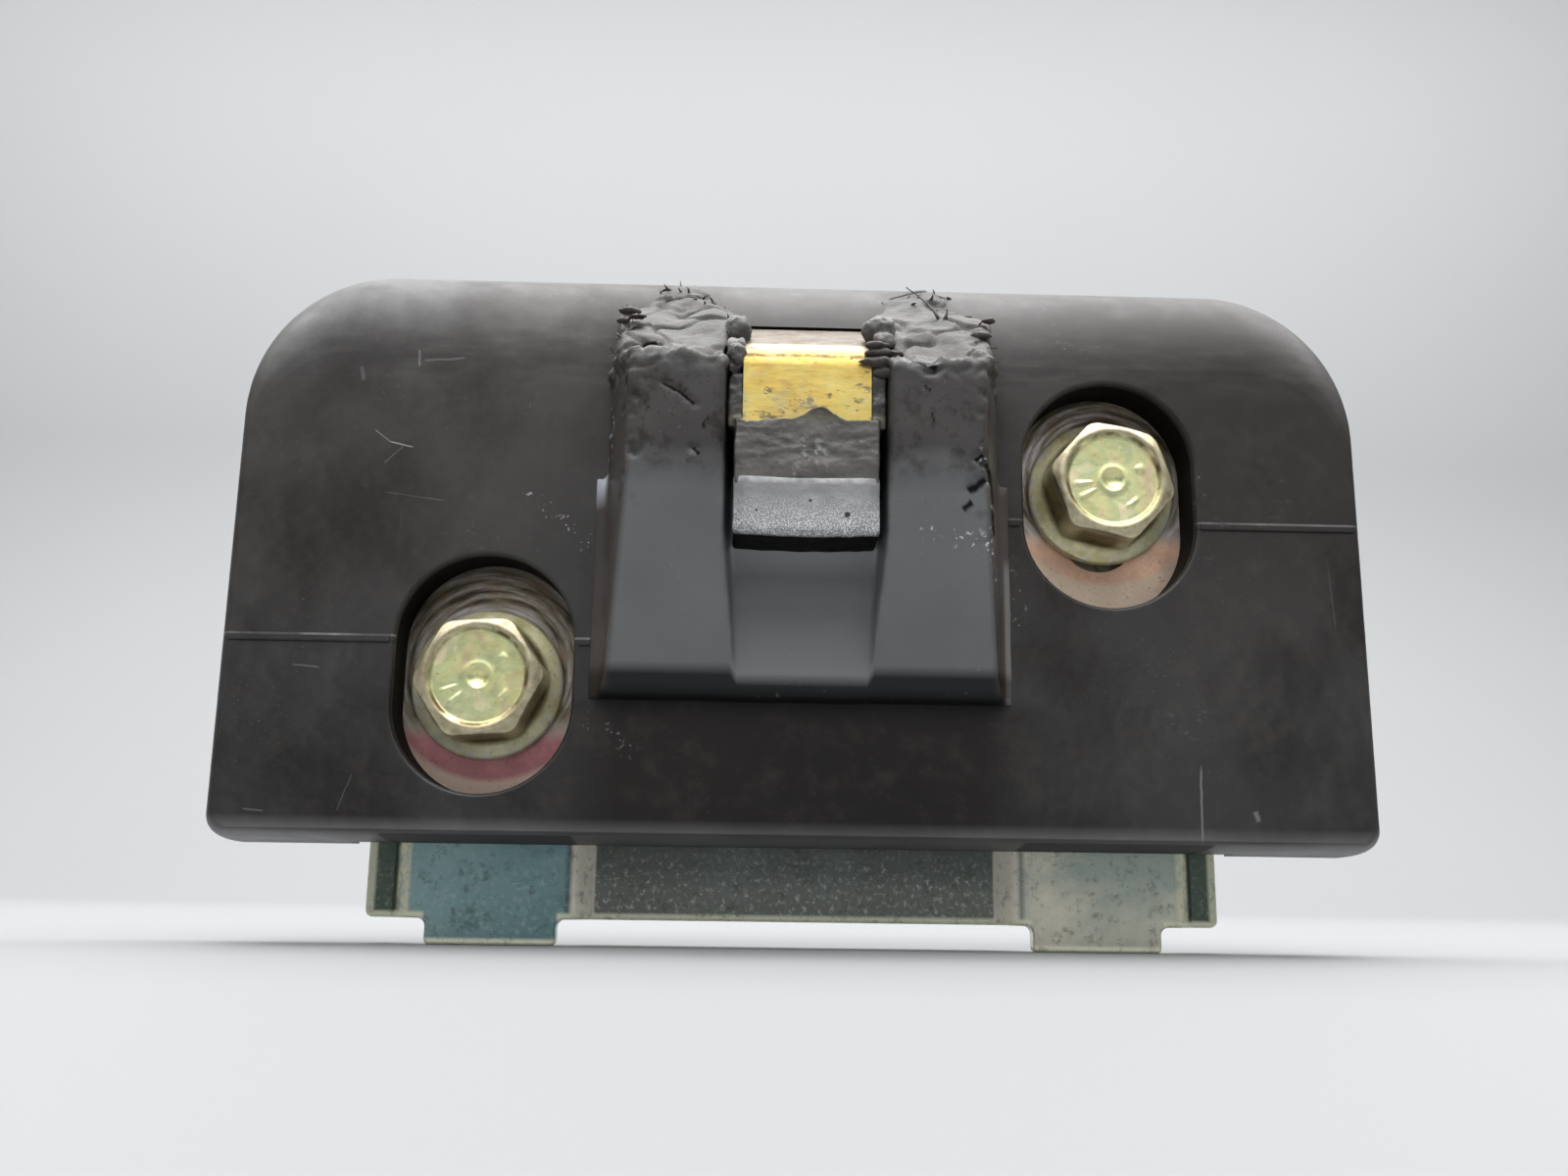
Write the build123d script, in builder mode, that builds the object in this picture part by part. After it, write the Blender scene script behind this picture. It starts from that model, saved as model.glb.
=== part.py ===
"""Boot-lid lock striker: a moulded cover with a steel catch, bolted through slots to a pressed bracket.

Frame, in millimetres: X across, Y from the front (negative) to the back, Z up.
The origin is on the bracket's rear face, midway between the two bolts.
"""

from build123d import *
import math
import os

os.makedirs("parts", exist_ok=True)

# ---------------------------------------------------------------- driving dimensions

# Stack from the back plane forwards
sheet = 2.0                 # bracket sheet
joggle = 2.5                # how far the bracket's bolt panels are pressed forwards
working_gap = 0.1           # between the sliding faces
plate_thickness = 2.5
recess_depth = 6.2          # cover face to base plate

# Cover
cover_width = 132.8
cover_height = 70.0
cover_bottom = -30.2
cover_depth = 12.5
cover_wall = 2.4
corner_radius = 16.5
foot_radius = 2.0
top_roll = 13.8             # how far the front face is set in at the top, side and bottom
side_roll = 2.4
bottom_roll = 1.3
roll_steps = 7
rim_relief = 2.6            # how far the bottom wall stops short, to clear the bracket

# Raised witness line that the moulding tool left across each half of the face
witness_end = 64.0
witness_z = {"left": -7.9, "right": 7.0}
witness_width = 0.8
witness_proud = 0.15
witness_root = 0.3          # how deep the ridges are rooted in the face

# Bolt recesses and bolts
slot_width = 20.0
slot_length = 27.0
slot_rim = 0.45             # rounding of the recess's front rim
slot_x = 35.6
slot_z = {"left": -11.5, "right": 10.7}
collar_wall = 2.0
plate_slot_width = 9.0
plate_slot_length = 16.0
seat_gap = 0.05             # between faces that only just touch
bolt_x = 35.9
bolt_z = {"left": -12.15, "right": 12.15}
bolt_turn = {"left": 4.0, "right": -12.0}
side_sign = {"left": -1, "right": 1}
thread_diameter = 7.96
bolt_length = 16.0
head_height = 7.6
head_across_flats = 13.0
flange_diameter = 17.4
flange_edge = 1.1
flange_cone = 2.5
dish_diameter = 11.0
dish_depth = 0.5
dimple_diameter = 2.6
dimple_depth = 0.6
thread_chamfer = 0.9
head_corner_inset = 0.25    # the head's top ring inside the flats

# Guide block, catch strap and its moulded skin; "proud" is measured forwards from the cover's face
rib_proud = 11.5
block_half_width = 22.6
block_taper = 14.5
block_top = 37.4
block_reach = 4.4           # how far the ribs' torn tops run back over the rolled edge
rib_shoulder = 22.0
rib_knee = 9.2
block_foot = -14.6
block_foot_proud = 1.9      # where the long lower slope would meet the foot
block_foot_radius = 3.0
shoulder_radius = 2.0
knee_radius = 7.0
skirt_half_width = 23.8
skirt_top = 11.4
skirt_proud = 2.6
skirt_taper = 36.0
tongue_proud = 2.8
channel_half_width = 8.3
channel_foot_half_width = 7.2
channel_taper = -5.4
neck_half_width = 18.0
neck_bottom = -12.0
neck_top = 26.0
notch_top = 30.7
strap_width = 14.2
strap_thickness = 2.5
strap_proud = 9.3
strap_top = 24.3
strap_slope = 0.6
strap_bend = 2.6
ledge = 3.2
strap_foot_length = 11.0
strap_upper_foot = 17.0     # length of the foot over the top leg's rear end
skin = 0.8
skin_half_width = 7.95
skin_edge = 15.4
skin_rise = 0.35            # how far the rubber beside the strap stands over its top
strip_gap = 0.12            # between that rubber and the ribs
pad_top = 9.6
pad_thickness = 0.3         # beyond the skin
pad_lip = 0.7               # how far the pad wraps under the ledge
pad_corner_radius = 0.9

# Base plate
base_width = 120.0
base_height = 58.5
base_lift = 4.0             # its lower edge over the cover's
base_top_radius = 15.0
base_foot_radius = 3.0
stud_clearance = 0.1

# Rivets, studs and retainers
rivet_diameter = 4.0
rivet_head_diameter = 6.4
rivet_head_height = 1.3
rivet_head_bevel = 0.8
rivet_spacing = 7.0
rivet_rows = (19.5, -3.6)
stud_x = 55.0
stud_rows = (-18.0, 14.0)
stud_diameter = 3.0
boss_diameter = 7.0
retainer_diameter = 10.0
retainer_sheet = 0.5
retainer_slit = 0.6
retainer_slit_length = 2.6
stud_end = 1.6              # stud's tip behind the plate's back

# Bracket and its weld nuts
bracket_half_width = 49.6
bracket_top = 24.0
bracket_edge = -38.5
tab_reach = 2.9
tab_inner = 27.3
tab_outer = 42.2
panel_inner = 25.0
panel_outer = 45.0
joggle_run = 2.2
joggle_bend = 1.3
bracket_top_radius = 5.0
bracket_notch_radius = 0.9
tab_radius = 0.6
sheared_edge = 0.4          # rounding left on the lower edges by the press
nut_across_flats = 14.0
nut_height = 6.5
nut_collar_diameter = 8.9
nut_collar_height = 1.5
nut_bore = 8.06
bracket_hole = 9.0

# ---------------------------------------------------------------- places worked out from them

panel_front = -sheet - joggle
plate_back = panel_front - working_gap
plate_front = plate_back - plate_thickness
face = plate_front - recess_depth
rim = face + cover_depth
under_head = plate_front - seat_gap
slot_centres = [(side_sign[side] * slot_x, slot_z[side]) for side in ("left", "right")]
bolt_centres = [(side_sign[side] * bolt_x, bolt_z[side]) for side in ("left", "right")]
stud_centres = [(x, z) for x in (-stud_x, stud_x) for z in stud_rows]


def at(y):
    """The upright plane at depth y: X to the right, Z up, and extrusions running forwards."""
    return Plane.XZ.offset(-y)


def shell_section(depth_share, wall):
    """One outline of the cover, at a share of a quarter turn from the front face to the rim."""
    turn = math.radians(90 * depth_share)
    side_in = wall + (side_roll - wall * side_roll / cover_depth) * (1 - math.sin(turn))
    top_in = wall + (top_roll - wall) * (1 - math.sin(turn))
    bottom_in = wall + bottom_roll * (1 - math.sin(turn))
    radius = corner_radius - wall - 0.35 * (top_in - wall)
    y = face + wall + (cover_depth - wall) * (1 - math.cos(turn))
    with BuildSketch(at(y)) as section:
        with Locations((0, cover_bottom + bottom_in)):
            Rectangle(
                cover_width - 2 * side_in,
                cover_height - top_in - bottom_in,
                align=(Align.CENTER, Align.MIN),
            )
        fillet(section.vertices().group_by(Axis.Y)[-1], radius=radius)
        fillet(section.vertices().group_by(Axis.Y)[0], radius=foot_radius)
    return section.sketch


def shell_body(wall):
    """The cover's outer body, or with a wall its hollow: a loft whose front edge rolls over."""
    with BuildPart() as body:
        for step in range(roll_steps):
            add(shell_section(step / (roll_steps - 1), wall))
        loft()
    return body.part


cover_body = shell_body(0)
cover_hollow = shell_body(cover_wall)

# ---------------------------------------------------------------- catch strap

strap_middle = face - strap_proud + strap_thickness / 2
foot_middle = plate_front - strap_thickness / 2
slope_drop = strap_thickness / 2 * math.hypot(1, strap_slope)
outer_corner = face - strap_proud


def slope_height(y):
    """Height of the strap's middle surface on its sloping top leg."""
    return strap_top + strap_slope * (y - outer_corner) - slope_drop


strap_floor = ledge + strap_thickness / 2
strap_route = [
    (foot_middle, slope_height(foot_middle) - strap_upper_foot),
    (foot_middle, slope_height(foot_middle)),
    (strap_middle, slope_height(strap_middle)),
    (strap_middle, strap_floor),
    (foot_middle, strap_floor),
    (foot_middle, strap_floor - strap_foot_length),
]

with BuildPart() as catch_strap:
    with BuildLine(Plane.YZ) as route:
        FilletPolyline(*strap_route, radius=strap_bend)
    with BuildSketch(Plane(origin=route.line @ 0, x_dir=(1, 0, 0), z_dir=route.line % 0)):
        Rectangle(strap_width, strap_thickness)
    sweep(path=route.line)
    strap_feet_holes = [
        (x, z) for x in (-rivet_spacing / 2, rivet_spacing / 2) for z in rivet_rows
    ]
    with BuildSketch(at(plate_front)):
        with Locations(*strap_feet_holes):
            Circle(rivet_diameter / 2)
    extrude(amount=strap_thickness, mode=Mode.SUBTRACT)

# ---------------------------------------------------------------- base plate

with BuildPart() as base_plate:
    with BuildSketch(at(plate_back)) as outline:
        with Locations((0, cover_bottom + base_lift)):
            Rectangle(base_width, base_height, align=(Align.CENTER, Align.MIN))
        fillet(outline.vertices().group_by(Axis.Y)[-1], radius=base_top_radius)
        fillet(outline.vertices().group_by(Axis.Y)[0], radius=base_foot_radius)
        with Locations(*slot_centres):
            SlotOverall(plate_slot_length, plate_slot_width, rotation=90, mode=Mode.SUBTRACT)
        with Locations(*strap_feet_holes):
            Circle(rivet_diameter / 2, mode=Mode.SUBTRACT)
        with Locations(*stud_centres):
            Circle(stud_diameter / 2 + stud_clearance, mode=Mode.SUBTRACT)
    extrude(amount=plate_thickness)

# ---------------------------------------------------------------- rivets through the strap's feet

with BuildPart() as strap_rivets:
    grip = strap_thickness + plate_thickness
    with BuildSketch(Plane.XY) as half:
        with BuildLine():
            Polyline(
                (0, -rivet_head_height),
                (rivet_head_diameter / 2 - rivet_head_bevel, -rivet_head_height),
                (rivet_head_diameter / 2, -rivet_head_height / 3),
                (rivet_head_diameter / 2, 0),
                (rivet_diameter / 2, 0),
                (rivet_diameter / 2, grip),
                (rivet_head_diameter / 2, grip),
                (rivet_head_diameter / 2, grip + rivet_head_height / 3),
                (rivet_head_diameter / 2 - rivet_head_bevel, grip + rivet_head_height),
                (0, grip + rivet_head_height),
                close=True,
            )
        make_face()
    one_rivet = revolve(axis=Axis.Y, mode=Mode.PRIVATE)
    with Locations(
        *[Location((x, plate_front - strap_thickness, z)) for x, z in strap_feet_holes]
    ):
        add(one_rivet)

# ---------------------------------------------------------------- cover shell

with BuildPart() as cover_shell:
    add(cover_body)
    add(cover_hollow, mode=Mode.SUBTRACT)
    # collars round the bolt recesses, and bosses for the studs, down to the base plate
    with BuildSketch(at(plate_front - seat_gap)):
        with Locations(*slot_centres):
            SlotOverall(slot_length + 2 * collar_wall, slot_width + 2 * collar_wall, rotation=90)
        with Locations(*stud_centres):
            Circle(boss_diameter / 2)
    extrude(amount=recess_depth - cover_wall)
    # bolt recesses, with a rounded rim
    with BuildSketch(at(plate_front)):
        with Locations(*slot_centres):
            SlotOverall(slot_length, slot_width, rotation=90)
    extrude(amount=recess_depth + 1, mode=Mode.SUBTRACT)
    front_face = cover_shell.faces().sort_by(Axis.Y)[0]
    fillet(front_face.inner_wires().edges(), radius=slot_rim)
    # studs that hold the base plate
    with BuildSketch(at(plate_back + stud_end)):
        with Locations(*stud_centres):
            Circle(stud_diameter / 2)
    extrude(amount=plate_thickness + stud_end + 2 * seat_gap)
    # raised witness lines of the moulding tool, across the cover's face
    with BuildSketch(at(face + witness_root)):
        witness_length = witness_end - skirt_half_width
        witness_middle = witness_end - witness_length / 2
        with Locations((-witness_middle, witness_z["left"]), (witness_middle, witness_z["right"])):
            Rectangle(witness_length, witness_width)
        with Locations(*slot_centres):
            SlotOverall(
                slot_length + 2.4 * slot_rim,
                slot_width + 2.4 * slot_rim,
                rotation=90,
                mode=Mode.SUBTRACT,
            )
    extrude(amount=witness_root + witness_proud)
    # window for the guide block's neck, and the notch over it for the strap's top leg
    with BuildSketch(at(plate_front)):
        with Locations((0, neck_bottom)):
            Rectangle(2 * neck_half_width, neck_top - neck_bottom, align=(Align.CENTER, Align.MIN))
        with Locations((0, neck_top)):
            Rectangle(
                strap_width + 0.3, notch_top - neck_top, align=(Align.CENTER, Align.MIN)
            )
    extrude(amount=recess_depth + 1, mode=Mode.SUBTRACT)
    # the bottom wall stops short of the bracket
    with BuildSketch(at(rim + 1)):
        with Locations((0, cover_bottom - 1)):
            Rectangle(
                2 * bracket_half_width + 3, cover_wall + rim_relief, align=(Align.CENTER, Align.MIN)
            )
    extrude(amount=rim + 1 - panel_front + 0.4, mode=Mode.SUBTRACT)

# ---------------------------------------------------------------- worn pad and skin on the strap

pad_proud = strap_proud + skin + pad_thickness

with BuildPart() as catch_pad:
    with BuildSketch(Plane.YZ) as section:
        with BuildLine():
            Polyline(
                (face - tongue_proud, ledge),
                (face - tongue_proud, ledge - pad_lip),
                (face - pad_proud, ledge - pad_lip),
                (face - pad_proud, pad_top),
                (face - strap_proud, pad_top),
                (face - strap_proud, ledge),
                close=True,
            )
        make_face()
        lower_corner = section.vertices().group_by(Axis.Y)[0].sort_by(Axis.X)[0]
        fillet(lower_corner, radius=pad_corner_radius)
    extrude(amount=skin_half_width, both=True)
    add(catch_strap.part, mode=Mode.SUBTRACT)

with BuildPart() as edge_strips:
    # rubber beside the strap, up to its sloping top, filling the channel between the ribs
    with BuildSketch(at(face - tongue_proud)):
        with Locations((0, skin_edge)):
            Rectangle(
                2 * (channel_half_width - strip_gap),
                strap_top,
                align=(Align.CENTER, Align.MIN),
            )
    extrude(amount=strap_proud - tongue_proud, taper=channel_taper)
    with BuildSketch(Plane.YZ):
        with BuildLine():
            Polyline(
                (face - tongue_proud, ledge),
                (face - strap_proud, ledge),
                (face - strap_proud, strap_top + skin_rise),
                (
                    face - tongue_proud,
                    strap_top + strap_slope * (strap_proud - tongue_proud) + skin_rise,
                ),
                close=True,
            )
        make_face()
    extrude(amount=2 * channel_half_width, both=True, mode=Mode.INTERSECT)

with BuildPart() as catch_sleeve:
    # core that fills the strap's loop, with the skin left on its lower front
    with BuildSketch(Plane.YZ):
        with BuildLine():
            Polyline(
                (face - tongue_proud, ledge),
                (face - strap_proud - skin, ledge),
                (face - strap_proud - skin, skin_edge),
                (face - strap_proud, skin_edge + 0.5),
                (face - tongue_proud, skin_edge + 0.5),
                close=True,
            )
        make_face()
    extrude(amount=skin_half_width, both=True)
    add(edge_strips.part)
    # between those edges the strap's front and sloping top are bare
    with BuildSketch(Plane.YZ):
        with BuildLine():
            Polyline(
                (face - strap_proud - 2, skin_edge),
                (face - strap_proud - 2, strap_top + 12),
                (face + 2, strap_top + 12),
                (face + 2, slope_height(face + 2)),
                (strap_middle, slope_height(strap_middle)),
                (strap_middle, skin_edge),
                close=True,
            )
        make_face()
    extrude(amount=strap_width / 2, both=True, mode=Mode.SUBTRACT)
    add(catch_strap.part, mode=Mode.SUBTRACT)
    add(catch_pad.part, mode=Mode.SUBTRACT)

# ---------------------------------------------------------------- guide block

with BuildPart() as guide_block:
    # side profile: torn top sloping back, upright front, long slope under it, rounded foot
    with BuildSketch(Plane.YZ) as profile:
        with BuildLine():
            Polyline(
                (face + block_reach, block_top),
                (face - rib_proud, rib_shoulder),
                (face - rib_proud, rib_knee),
                (face - block_foot_proud, block_foot),
                (face + block_reach, block_foot),
                close=True,
            )
        make_face()
        knee_point, shoulder_point = profile.vertices().group_by(Axis.X)[0].sort_by(Axis.Y)
        fillet(knee_point, radius=knee_radius)
        fillet(shoulder_point, radius=shoulder_radius)
        foot_point = profile.vertices().group_by(Axis.Y)[0].sort_by(Axis.X)[0]
        fillet(foot_point, radius=block_foot_radius)
    extrude(amount=block_half_width + 1, both=True)
    taper_slope = math.tan(math.radians(block_taper))
    with BuildSketch(at(face + block_reach)):
        Rectangle(2 * (block_half_width + block_reach * taper_slope), 150)
    extrude(amount=rib_proud + block_reach + 1, taper=block_taper, mode=Mode.INTERSECT)
    # low skirt round the lower half
    with BuildSketch(at(face)):
        with Locations((0, block_foot)):
            Rectangle(
                2 * skirt_half_width, skirt_top - block_foot, align=(Align.CENTER, Align.MIN)
            )
    extrude(amount=skirt_proud, taper=skirt_taper)
    # channel between the ribs, down to the tongue
    with BuildSketch(at(face - tongue_proud)):
        with BuildLine():
            Polyline(
                (-channel_foot_half_width, block_foot - 2),
                (channel_foot_half_width, block_foot - 2),
                (channel_half_width, ledge),
                (channel_half_width, block_top + 12),
                (-channel_half_width, block_top + 12),
                (-channel_half_width, ledge),
                close=True,
            )
        make_face()
    extrude(amount=rib_proud, taper=channel_taper, mode=Mode.SUBTRACT)
    with BuildSketch(at(face - tongue_proud)):
        with Locations((0, neck_top + 1)):
            Rectangle(2 * channel_half_width, 30, align=(Align.CENTER, Align.MIN))
    extrude(amount=-30, mode=Mode.SUBTRACT)
    # the block lies on the cover, and its neck goes through the window to the base plate
    add(cover_body, mode=Mode.SUBTRACT)
    with BuildSketch(at(plate_front)):
        with Locations((0, neck_bottom)):
            Rectangle(2 * neck_half_width, neck_top - neck_bottom, align=(Align.CENTER, Align.MIN))
    extrude(amount=recess_depth)
    add(catch_strap.part, mode=Mode.SUBTRACT)
    add(strap_rivets.part, mode=Mode.SUBTRACT)

# ---------------------------------------------------------------- push-on retainers

with BuildPart() as push_retainers:
    for centre in stud_centres:
        with BuildSketch(at(plate_back + retainer_sheet)):
            with Locations(centre):
                Circle(retainer_diameter / 2)
                Circle(stud_diameter / 2, mode=Mode.SUBTRACT)
                with PolarLocations(stud_diameter / 2 + 1.2, 4):
                    Rectangle(retainer_slit_length, retainer_slit, mode=Mode.SUBTRACT)
        extrude(amount=retainer_sheet)

# ---------------------------------------------------------------- bracket

with BuildPart() as bracket:
    middle = -sheet / 2
    with BuildSketch(Plane.XY.offset(bracket_edge - tab_reach)):
        with BuildLine() as fold:
            FilletPolyline(
                (-bracket_half_width - 3, middle),
                (-panel_outer - joggle_run / 2, middle),
                (-panel_outer + joggle_run / 2, middle - joggle),
                (-panel_inner - joggle_run / 2, middle - joggle),
                (-panel_inner + joggle_run / 2, middle),
                (panel_inner - joggle_run / 2, middle),
                (panel_inner + joggle_run / 2, middle - joggle),
                (panel_outer - joggle_run / 2, middle - joggle),
                (panel_outer + joggle_run / 2, middle),
                (bracket_half_width + 3, middle),
                radius=joggle_bend,
            )
        trace(fold.line, line_width=sheet)
    extrude(amount=bracket_top - bracket_edge + tab_reach)
    with BuildSketch(at(5)) as outline:
        with Locations((0, bracket_edge)):
            Rectangle(
                2 * bracket_half_width,
                bracket_top - bracket_edge,
                align=(Align.CENTER, Align.MIN),
            )
        with Locations(
            (-(tab_inner + tab_outer) / 2, bracket_edge),
            ((tab_inner + tab_outer) / 2, bracket_edge),
        ):
            Rectangle(tab_outer - tab_inner, 2 * tab_reach)
        fillet(outline.vertices().group_by(Axis.Y)[-1], radius=bracket_top_radius)
        fillet(outline.vertices().group_by(Axis.Y)[1], radius=bracket_notch_radius)
        fillet(outline.vertices().group_by(Axis.Y)[0], radius=tab_radius)
    extrude(amount=15, mode=Mode.INTERSECT)
    tab_feet = bracket.faces().filter_by(Plane.XY).group_by(Axis.Z)[0]
    tab_front_edges = [foot.edges().filter_by(Axis.X).sort_by(Axis.Y)[0] for foot in tab_feet]
    fillet(tab_front_edges, radius=sheared_edge)
    with BuildSketch(at(5)):
        with Locations(*bolt_centres):
            Circle(bracket_hole / 2)
    extrude(amount=15, mode=Mode.SUBTRACT)

# ---------------------------------------------------------------- weld nuts and bolts


def weld_nut(side):
    """Hexagon weld nut on the back of the bracket, its collar in the bracket's hole."""
    centre = (side_sign[side] * bolt_x, bolt_z[side])
    back = panel_front + sheet
    with BuildPart() as nut:
        with BuildSketch(at(back + nut_height)):
            with Locations(centre):
                RegularPolygon(nut_across_flats / 2, 6, major_radius=False, rotation=30)
        extrude(amount=nut_height)
        with BuildSketch(at(back)):
            with Locations(centre):
                Circle(nut_collar_diameter / 2)
        extrude(amount=nut_collar_height)
        # the corners are turned off at 30 degrees on the free end
        with BuildSketch(at(back + nut_height)):
            with Locations(centre):
                Circle(nut_across_flats / 2)
        extrude(amount=nut_height + nut_collar_height, taper=-60, mode=Mode.INTERSECT)
        with BuildSketch(at(back + nut_height + 1)):
            with Locations(centre):
                Circle(nut_bore / 2)
        extrude(amount=nut_height + nut_collar_height + 2, mode=Mode.SUBTRACT)
    return nut


def flange_bolt(side):
    """M8 hexagon flange bolt with a dished head."""
    centre_x = side_sign[side] * bolt_x
    centre_z = bolt_z[side]
    top = under_head - head_height
    with BuildPart() as bolt:
        with BuildSketch(at(under_head)):
            with Locations((centre_x, centre_z)):
                Circle(flange_diameter / 2)
        extrude(amount=flange_edge)
        with BuildSketch(at(under_head - flange_edge)):
            with Locations((centre_x, centre_z)):
                Circle(flange_diameter / 2 - 0.2)
        extrude(amount=flange_cone - flange_edge, taper=60)
        with BuildSketch(at(under_head)):
            with Locations((centre_x, centre_z)):
                RegularPolygon(
                    head_across_flats / 2, 6, major_radius=False, rotation=bolt_turn[side]
                )
        extrude(amount=head_height)
        # everything above the flange stays inside a cone that turns the hexagon's corners off
        with BuildSketch(at(top)):
            with Locations((centre_x, centre_z)):
                Circle(head_across_flats / 2 - head_corner_inset)
        extrude(amount=-head_height, taper=-60, mode=Mode.INTERSECT)
        with BuildSketch(at(top)):
            with Locations((centre_x, centre_z)):
                Circle(dish_diameter / 2)
        extrude(amount=-dish_depth, taper=40, mode=Mode.SUBTRACT)
        with BuildSketch(at(top + dish_depth)):
            with Locations((centre_x, centre_z)):
                Circle(dimple_diameter / 2)
        extrude(amount=-dimple_depth, taper=50, mode=Mode.SUBTRACT)
        with BuildSketch(at(under_head + bolt_length)):
            with Locations((centre_x, centre_z)):
                Circle(thread_diameter / 2)
        extrude(amount=bolt_length)
        tip = bolt.faces().sort_by(Axis.Y)[-1]
        chamfer(tip.edges(), length=thread_chamfer)
    return bolt


# ---------------------------------------------------------------- finished pieces

pieces = {
    "cover_shell": cover_shell,
    "guide_block": guide_block,
    "catch_sleeve": catch_sleeve,
    "catch_pad": catch_pad,
    "catch_strap": catch_strap,
    "base_plate": base_plate,
    "strap_rivets": strap_rivets,
    "push_retainers": push_retainers,
    "bracket": bracket,
}
for side in ("left", "right"):
    pieces["weld_nut_" + side] = weld_nut(side)
    pieces["bolt_" + side] = flange_bolt(side)

for name, piece in pieces.items():
    piece.part.label = name
    export_step(piece.part, "parts/" + name + ".step")
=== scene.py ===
"""Looks of the boot-lid lock striker: worn black mouldings, torn rubber, chromated steel.

Everything is in metres, in the CAD frame: X across, Y from front to back, Z up.
"""

import math
import random

import bmesh
import bpy
import numpy as np
from mathutils import Matrix, Vector, noise


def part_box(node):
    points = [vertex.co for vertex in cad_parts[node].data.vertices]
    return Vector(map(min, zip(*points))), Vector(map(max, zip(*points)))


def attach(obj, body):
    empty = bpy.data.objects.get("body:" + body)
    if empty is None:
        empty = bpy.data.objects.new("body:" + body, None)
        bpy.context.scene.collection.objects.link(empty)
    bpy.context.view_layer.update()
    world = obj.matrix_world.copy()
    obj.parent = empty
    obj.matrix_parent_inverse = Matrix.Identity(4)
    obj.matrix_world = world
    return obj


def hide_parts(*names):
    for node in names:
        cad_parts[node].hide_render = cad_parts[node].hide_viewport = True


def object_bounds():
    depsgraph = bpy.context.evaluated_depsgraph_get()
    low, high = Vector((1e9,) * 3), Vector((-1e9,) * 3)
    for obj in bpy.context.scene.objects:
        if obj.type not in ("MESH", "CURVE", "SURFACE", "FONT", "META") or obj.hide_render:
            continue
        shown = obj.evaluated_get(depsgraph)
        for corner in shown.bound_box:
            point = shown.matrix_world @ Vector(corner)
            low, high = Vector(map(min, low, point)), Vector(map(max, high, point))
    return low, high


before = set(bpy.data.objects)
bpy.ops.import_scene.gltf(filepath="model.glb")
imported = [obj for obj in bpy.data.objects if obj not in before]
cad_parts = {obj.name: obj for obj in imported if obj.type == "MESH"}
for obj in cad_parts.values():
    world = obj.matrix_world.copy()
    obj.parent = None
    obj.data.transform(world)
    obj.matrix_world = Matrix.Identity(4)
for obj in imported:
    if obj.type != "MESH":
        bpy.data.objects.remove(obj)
cad_low, cad_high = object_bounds()

MM = 0.001
SIDES = ("left", "right")


# ---- places read from the frame

cover_low, cover_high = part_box("cover_shell")
block_low, block_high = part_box("guide_block")
sleeve_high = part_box("catch_sleeve")[1]
pad_low, pad_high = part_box("catch_pad")
strap_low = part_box("catch_strap")[0]
plate_low, plate_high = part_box("base_plate")
bracket_low, bracket_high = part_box("bracket")

rib_front = block_low.y
rib_back = -7 * MM                      # the ribs' torn tops lie in front of this
shoulder = block_high.z - 15.4 * MM     # where the ribs' upright fronts meet their torn tops
channel = 8.3 * MM                      # half width between the ribs
block_side = 20.8 * MM                  # outer side of the ribs near their tops
rib_draft = 0.2586                      # how fast the ribs' outer walls spread towards the back
tongue_low, tongue_high = -16.6 * MM, 3.2 * MM          # the slope between the ribs, under the pad
tongue_narrow, tongue_wide = 7.2 * MM, 8.3 * MM         # its half width at each end
skirt_side, skirt_top = 22.5 * MM, 11.6 * MM            # the low flange round the block
recess_inner, recess_outer, recess_top = 25.0 * MM, 46.2 * MM, 24.9 * MM
panel_inner, panel_outer = 24.7 * MM, 45.4 * MM         # the bracket's bolt panels
tab_inner, tab_outer = 27.2 * MM, 42.3 * MM             # the tabs below them


def bolt_axis(side):
    """X and Z of a bolt's axis."""
    low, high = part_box("bolt_" + side)
    return (low.x + high.x) / 2, (low.z + high.z) / 2


# ---- material helpers

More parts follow.
